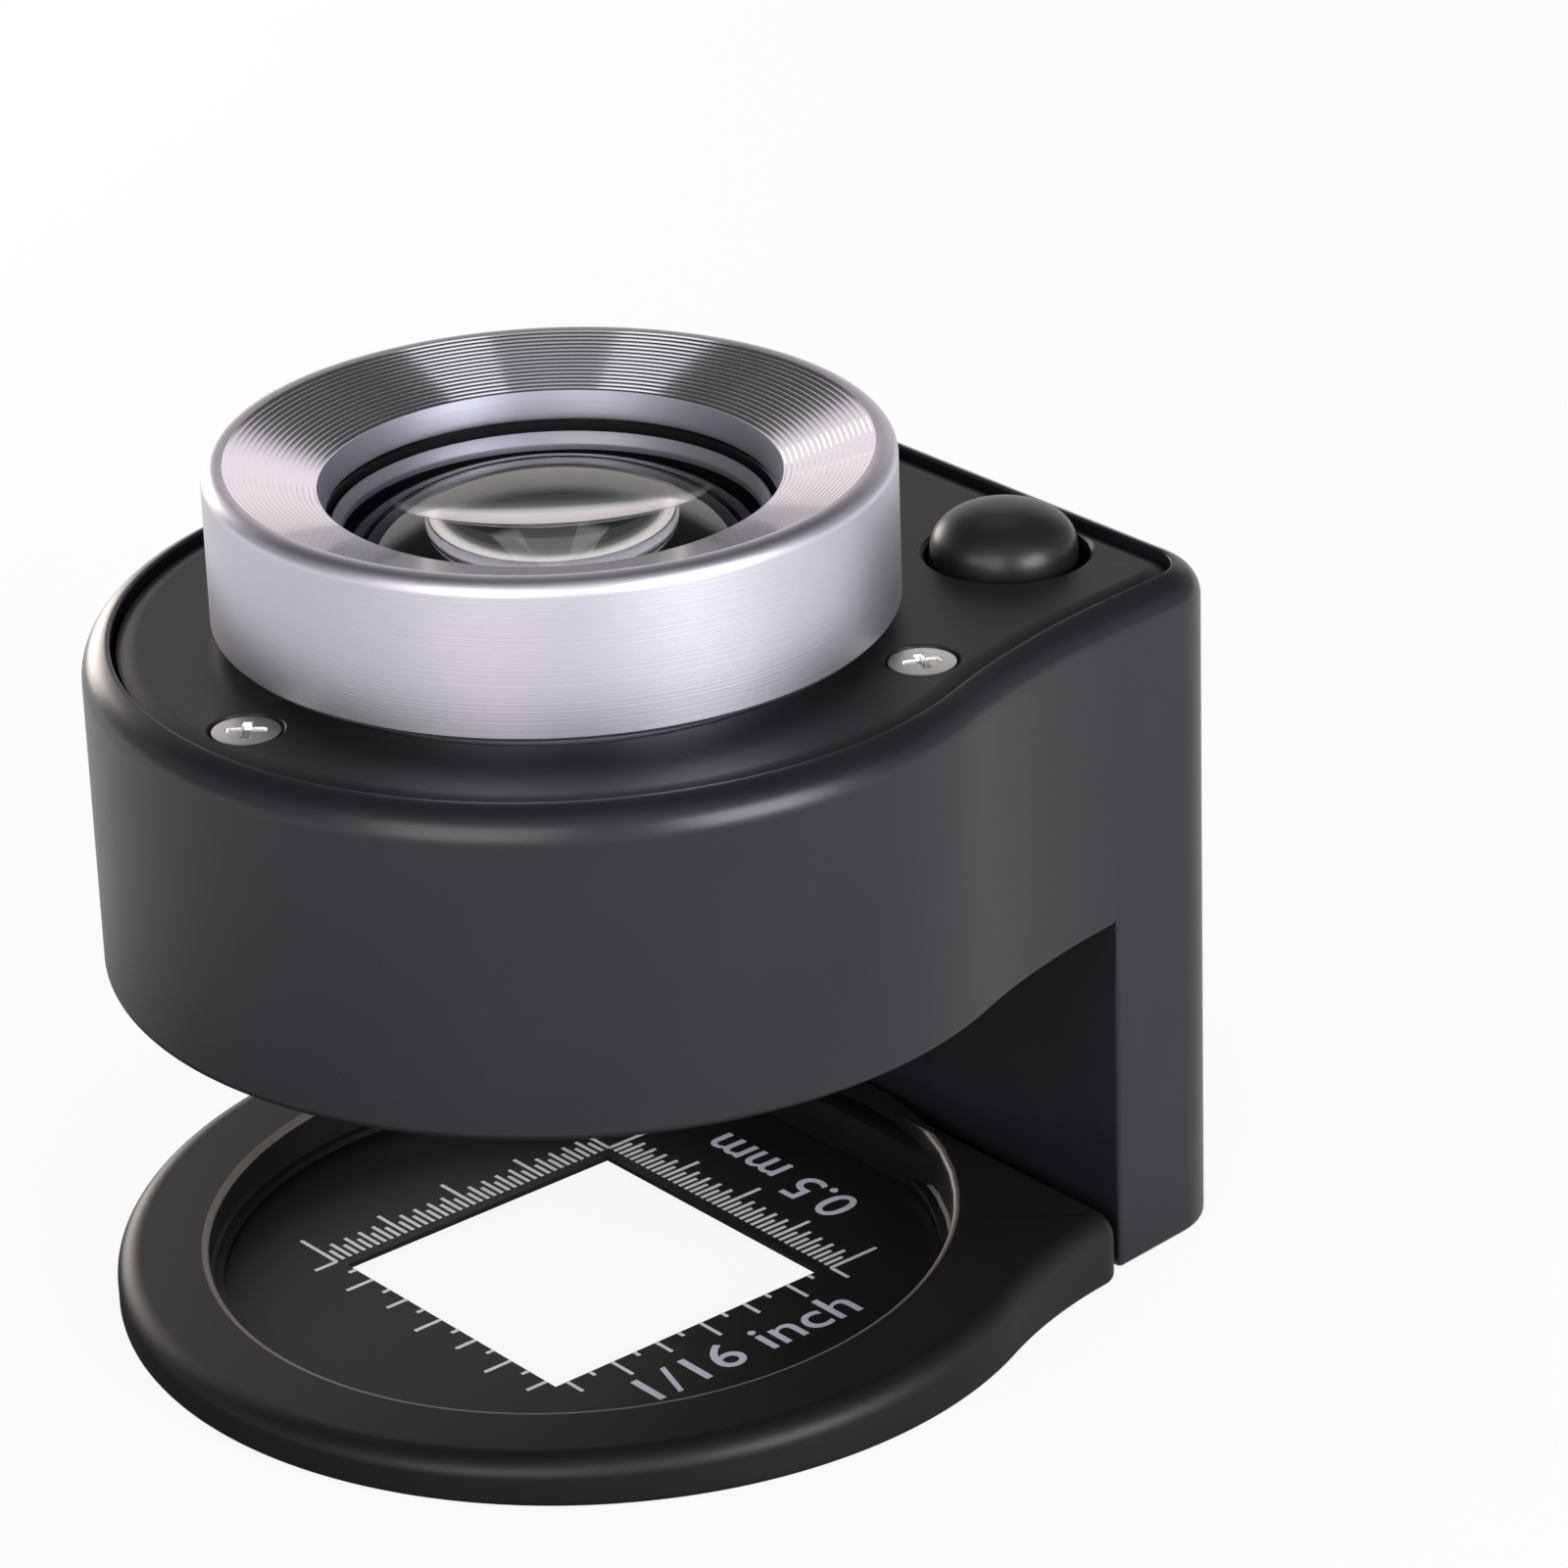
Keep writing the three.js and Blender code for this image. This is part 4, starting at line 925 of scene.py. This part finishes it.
# %% [markdown]
# ## Lamps and wires
# Two small lamps, drops of clear resin with a flange, hang from the circuit board and look down through the
# floor of the head. Two short wires join the battery's springs to the board. A wire is a circle carried
# along a smooth curve through its bends; where the insulation ends, it shrinks to the bare strands.

# %% Lamps
LED_TIP, LED_RADIUS, LED_FLANGE, LED_TOP, FLANGE_HEIGHT, FLANGE_BEVEL = 22.0, 1.5, 1.9, 27.7, 0.8, 0.1

resin = surface(
    "clear lamp resin", (0.88, 0.87, 0.78), (0.95, 0.94, 0.86), 0.05, 0.12, 1500.0, 0.05,
    Transmission_Weight=0.7, IOR=1.5,
)
flange_z = LED_TOP - FLANGE_HEIGHT
led_profile = [
    *arc((0, LED_TIP + LED_RADIUS), LED_RADIUS, -90, 0, 16), (LED_RADIUS, flange_z),
    (LED_FLANGE - FLANGE_BEVEL, flange_z), (LED_FLANGE, flange_z + FLANGE_BEVEL),
    (LED_FLANGE, LED_TOP), (0, LED_TOP),
]
for side, name in ((-1, "left"), (1, "right")):
    lamp_piece = mesh_object(f"lamp_{name}", turned(led_profile, 64, (side * LAMP_X, LAMP_Y)))
    finish(lamp_piece, resin, "lamp_resin", f"led_{name}")

# %% Wires
WIRE_RADIUS, STRAND_RADIUS, BARE, BARE_EDGE, WIRE_ROWS = 0.43, 0.2, 0.07, 0.03, 48
BLACK_ROUTE = [(-3.3, 22.6, 24.7), (-1.6, 22.8, 24.9), (-0.2, 23.4, 25.9), (0, 23.6, 27.6)]
RED_ROUTE = [(-3.6, 22.6, 34), (-1.6, 22.9, 33.6), (0.8, 23.5, 31.8), (1.2, 23.6, 29.6)]


def smooth_route(points):
    """Cubic through the points: between two of them, the tangent at each is half the step across it."""
    points = np.array(points, dtype=float)
    points = np.vstack([2 * points[0] - points[1], points, 2 * points[-1] - points[-2]])
    way = np.linspace(0, len(points) - 3, WIRE_ROWS)
    span = np.minimum(way.astype(int), len(points) - 4)
    s = (way - span)[:, None]
    a, b, c, d = (points[span + step] for step in range(4))
    return 0.5 * (2 * b + (c - a) * s + (2 * a - 5 * b + 4 * c - d) * s**2 + (3 * b - a - 3 * c + d) * s**3)


def wire_sheet(route, sides=24):
    """Circles across the route; their radius steps down to the strands at both ends and closes."""
    path = smooth_route(route)
    tangent = np.gradient(path, axis=0)
    across = unit(np.cross(tangent, (0, 1, 0)))
    lift = unit(np.cross(across, tangent))
    way = np.linspace(0, 1, len(path))
    covered = smooth_step((np.minimum(way, 1 - way) - BARE) / BARE_EDGE)
    radius = STRAND_RADIUS + (WIRE_RADIUS - STRAND_RADIUS) * covered
    radius[[0, -1]] = 0
    angle = 2 * np.pi * np.arange(sides)[:, None] / sides
    circle = across[:, None] * np.cos(angle) + lift[:, None] * np.sin(angle)
    return sheet(path[:, None] + radius[:, None, None] * circle)


BLACK, RED = ((0.010, 0.010, 0.011), (0.020, 0.020, 0.021)), ((0.34, 0.012, 0.010), (0.46, 0.020, 0.016))
for name, route, colours in (("black", BLACK_ROUTE, BLACK), ("red", RED_ROUTE, RED)):
    insulation = surface(f"{name} insulation", *colours, 0.35, 0.5, 3000.0, 0.1)
    wire = mesh_object(f"supply_wire_{name}", wire_sheet(route))
    finish(wire, insulation, f"{name}_wire", f"wire_{name}")

# %% [markdown]
# ## Finishes of the pieces inside the head
# The board, the battery and the switch are seen only when the cover is off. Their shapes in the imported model
# are right as they are, so they keep them, and each gets the finish of its material.

# %% Board, battery, switch and collar
BOARD, CELLS = ["circuit_board"], ["battery_cell_1", "battery_cell_2", "battery_cell_3"]
CONTACTS = ["battery_contact_bottom", "battery_contact_top"]
SWITCH = ["switch_body", "switch_plunger", "series_resistor"]
INNER_FINISHES = [
    (BOARD, "board laminate", (0.012, 0.07, 0.03), (0.02, 0.10, 0.045), 0.30, 0.42, 2200.0, 0.2, 0.0),
    (CELLS, "cell steel", (0.58, 0.58, 0.57), (0.70, 0.70, 0.69), 0.18, 0.3, 3000.0, 0.2, 1.0),
    (CONTACTS, "contact brass", (0.62, 0.45, 0.20), (0.74, 0.56, 0.28), 0.22, 0.36, 3000.0, 0.2, 1.0),
    (SWITCH, "switch plastic", (0.016, 0.016, 0.017), (0.026, 0.026, 0.027), 0.38, 0.5, 2500.0, 0.3, 0.0),
]
finished = {"battery_holder": black_plastic, "threaded_collar": black_anodised}
for names, look, *values, metallic in INNER_FINISHES:
    finished.update(dict.fromkeys(names, surface(look, *values, Metallic=metallic)))
for name, material in finished.items():
    node = bpy.data.objects[name]
    node.data.materials.clear()
    node.data.materials.append(material)
print("finished in place:", len(finished), "nodes")

# %% [markdown]
# ## The camera
# The camera was found by fitting the printed scales, the round edges and the straight edges of the model to
# the photograph. Its place and its two directions are what that fit gave; the third follows from them.

# %% Camera
CAMERA_PLACE = np.array([261.862, -202.630, 181.728])
CAMERA_RIGHT = np.array([0.64712157, 0.76175255, -0.03109231])
CAMERA_UP = np.array([-0.30095949, 0.29271555, 0.90760178])
FOCAL_LENGTH, SENSOR, CLIP = 151.21, 36.0, (0.01, 20.0)


def turn_to(made, right, up, back, place):
    """Sets an object's three axes and its place, which is in millimetres."""
    axes = np.column_stack([right, up, back, np.array(place) * MM])
    made.matrix_world = Matrix(np.vstack([axes, (0, 0, 0, 1)]).tolist())


camera_data = bpy.data.cameras.new("camera")
camera_data.lens, camera_data.sensor_width, camera_data.sensor_fit = FOCAL_LENGTH, SENSOR, "HORIZONTAL"
camera_data.clip_start, camera_data.clip_end = CLIP
camera = placed("camera", camera_data)
turn_to(camera, CAMERA_RIGHT, CAMERA_UP, np.cross(CAMERA_RIGHT, CAMERA_UP), CAMERA_PLACE)
bpy.context.scene.camera = camera
print("camera at", CAMERA_PLACE, "mm")

# %% [markdown]
# ## Floor and light
# The floor and the surroundings are white to the camera and plain grey to diffuse light, so the background
# stays white without bleaching the object. Reflections see a floor with painted shade near the object. A
# part of the white floor is lit and not its own glow, and that part keeps the object's shadow.

# %% Small helpers for light
def grey(value):
    """An opaque grey colour."""
    return value, value, value, 1


def ramp(tree, factor, stops):
    """The colour of a ramp with these stops, each a position and a grey or a colour."""
    colour = add(tree, "ValToRGB", {0: factor})[0]
    elements = colour.node.color_ramp.elements
    for position, value in stops[1:-1]:
        elements.new(position)
    for element, (position, value) in zip(elements, stops):
        element.position, element.color = position, (*np.broadcast_to(value, 3).tolist(), 1)
    return colour


def choose(tree, factor, first, second):
    """Mixes two shaders by a factor socket."""
    return add(tree, "MixShader", {0: factor, 1: first, 2: second})[0]


print("light helpers ready")

# %% Floor
bpy.context.scene.view_settings.view_transform = "Standard"
FLOOR_HALF, FLOOR_Z = 3.0, -0.00002
FLOOR_GLOW, FLOOR_LIT, FLOOR_BOUNCE = 0.88, 0.12, 0.6
# Reflections see painted shade on the floor round this centre: dark close to the object, back to full white
# 0.3 m away.
SHADE_CENTRE = (-8 * MM, -22 * MM, 0)
PAINTED_SHADE_STOPS = [(0.028, 0.08), (0.044, 0.30), (0.062, 0.62), (0.100, 0.72), (0.150, 0.78), (0.300, 1.0)]


def floor_material():
    """Eye rays see a white glow, a little of it lit; reflections see a floor with painted shade near the
    object.
    """
    material = bpy.data.materials.new("pale floor")
    material.use_nodes = True
    tree = material.node_tree
    tree.nodes.clear()
    path = add(tree, "LightPath")
    place = add(tree, "TexCoord")["Object"]
    distance = add(tree, "VectorMath", {0: place, 1: SHADE_CENTRE}, operation="DISTANCE")
    near = ramp(tree, distance["Value"], PAINTED_SHADE_STOPS)
    glow = add(tree, "Emission", {"Color": grey(1), "Strength": FLOOR_GLOW})[0]
    mirrored = add(tree, "Emission", {"Color": near})[0]
    lit = add(tree, "BsdfDiffuse", {"Color": grey(FLOOR_LIT)})[0]
    bounce = add(tree, "BsdfDiffuse", {"Color": grey(FLOOR_BOUNCE)})[0]
    both = add(tree, "AddShader", {0: glow, 1: lit})[0]
    eye = math_node(tree, "MAXIMUM", path["Is Camera Ray"], path["Is Transmission Ray"])
    unseen = choose(tree, path["Is Glossy Ray"], bounce, mirrored)
    add(tree, "OutputMaterial", {0: choose(tree, eye, unseen, both)})
    return material


floor_mesh = bpy.data.meshes.new("floor")
floor_corners = np.array([(-1, -1), (1, -1), (1, 1), (-1, 1)]) * FLOOR_HALF
floor_mesh.from_pydata([(x, y, FLOOR_Z) for x, y in floor_corners.tolist()], [], [(0, 1, 2, 3)])
floor = placed("floor", floor_mesh)
floor_mesh.materials.append(floor_material())
print("floor", 2 * FLOOR_HALF, "m wide")

# %% [markdown]
# ## The studio in the reflections
# The world is plain to the eye, but reflections see a studio: a warm low part, a dark card over it, a dim
# panel between two bright ones at the far side, dark sides and a grey near side. Each bearing has a ramp
# over the height of the direction, and soft steps lead from one bearing to the next.

# %% World: what each bearing shows
WARM_LOW = [(0.0, (0.82, 0.76, 0.75)), (0.33, (0.88, 0.82, 0.82)), (0.40, (0.80, 0.76, 0.76))]
DARK_CARD = [(0.44, 0.50), (0.50, 0.12), (0.56, 0.08)]
LOW_STOPS = WARM_LOW + DARK_CARD + [(1.0, 0.08)]
SIDE_STOPS = [(0.0, 0.34), (0.40, 0.32), (0.50, 0.10), (0.56, 0.045), (1.0, 0.045)]
NEAR_STOPS = [(0.0, 0.70), (0.15, 0.50), (0.35, 0.46), (0.60, 0.50), (0.85, 0.50), (1.0, 0.45)]
THROUGH_STOPS = WARM_LOW[:2] + [(0.38, 0.60), (0.43, 0.16), (0.50, 0.05), (1.0, 0.05)]
MIDDLE_LIGHT, BESIDE_LIGHT, DIFFUSE_LIGHT = 0.42, 1.0, 0.50
FACING_WAY, ACROSS_WAY, NEAR_FROM, NEAR_TO = (0.791, -0.612, 0), (0.612, 0.791, 0), 0.1, 0.6
MIDDLE_HALF, MIDDLE_OFF, BESIDE_HALF, BESIDE_OFF, BLUR = 7.4, -1.4, 14.7, -1.1, 0.35
SIDE_FROM, SIDE_TO = 24.0, 42.0


def panel_stops(light):
    """Stops of a bearing where a panel of this brightness hangs over the dark card."""
    return WARM_LOW + DARK_CARD + [(0.71, 0.08), (0.75, light), (0.855, light), (0.875, 0.10), (1.0, 0.10)]


print("stops over a panel:", len(panel_stops(BESIDE_LIGHT)))

# %% World: white to the eye, a studio to reflections
world = bpy.data.worlds.new("studio")
bpy.context.scene.world = world
world.use_nodes = True
tree = world.node_tree
tree.nodes.clear()
path = add(tree, "LightPath")
direction = add(tree, "TexCoord")["Generated"]
rise = add(tree, "SeparateXYZ", {0: direction})["Z"]


def along(way):
    """How far the direction points along a level way: their dot product."""
    return add(tree, "VectorMath", {0: direction, 1: way}, operation="DOT_PRODUCT")["Value"]


def step_over(source, low, high):
    """A smooth step of a socket from 0 at low to 1 at high."""
    given = {"Value": source, "From Min": low, "From Max": high}
    return add(tree, "MapRange", given, interpolation_type="SMOOTHSTEP")[0]


def outside(middle, low, high):
    """A smooth step from 0 near a bearing to 1 away from it, in degrees either side of it."""
    apart = math_node(tree, "SUBTRACT", bearing, math.radians(middle))
    return step_over(math_node(tree, "ABSOLUTE", apart), math.radians(low), math.radians(high))


def background(colour, strength):
    """A Background shader of a colour, which may be a socket."""
    return add(tree, "Background", {"Color": colour, "Strength": strength})[0]


facing = along(FACING_WAY)
bearing = math_node(tree, "ARCTAN2", along(ACROSS_WAY), math_node(tree, "MULTIPLY", facing, -1.0))
sky = ramp(tree, rise, panel_stops(MIDDLE_LIGHT))
for factor, stops in (
    (outside(MIDDLE_OFF, MIDDLE_HALF - BLUR, MIDDLE_HALF + BLUR), panel_stops(BESIDE_LIGHT)),
    (outside(BESIDE_OFF, BESIDE_HALF - BLUR, BESIDE_HALF + BLUR), LOW_STOPS),
    (outside(BESIDE_OFF, SIDE_FROM, SIDE_TO), SIDE_STOPS),
    (step_over(facing, NEAR_FROM, NEAR_TO), NEAR_STOPS),
):
    sky = colour_between(tree, factor, sky, ramp(tree, rise, stops))
white, through = grey(1), ramp(tree, rise, THROUGH_STOPS)
mirrored = choose(tree, path["Is Glossy Ray"], background(white, DIFFUSE_LIGHT), background(sky, 1.0))
indirect = choose(tree, path["Is Transmission Ray"], mirrored, background(through, 1.0))
seen = choose(tree, path["Is Camera Ray"], indirect, background(white, 1.0))
add(tree, "OutputWorld", {0: seen})
print("world ready")

# %% Soft lamps
AIM = (0, 0, 25)


def lamp(name, place, size, power, colour):
    """A square area lamp at a place in millimetres that looks at the middle of the head."""
    data = bpy.data.lights.new(name, "AREA")
    data.size, data.energy, data.color = size, power, colour
    made = placed(name, data)
    back = unit(np.array(place, dtype=float) - AIM)
    right = unit(np.cross((0, 0, 1), back))
    turn_to(made, right, np.cross(back, right), back, place)
    made.visible_transmission = False


lamp("right_front", (620, 60, 170), 0.35, 3.1, (0.96, 0.96, 1.0))
lamp("front", (300, -540, 230), 0.45, 2.0, (1.0, 0.96, 0.95))
lamp("rim", (-330, 40, 70), 0.12, 0.35, (1.0, 0.90, 0.84))
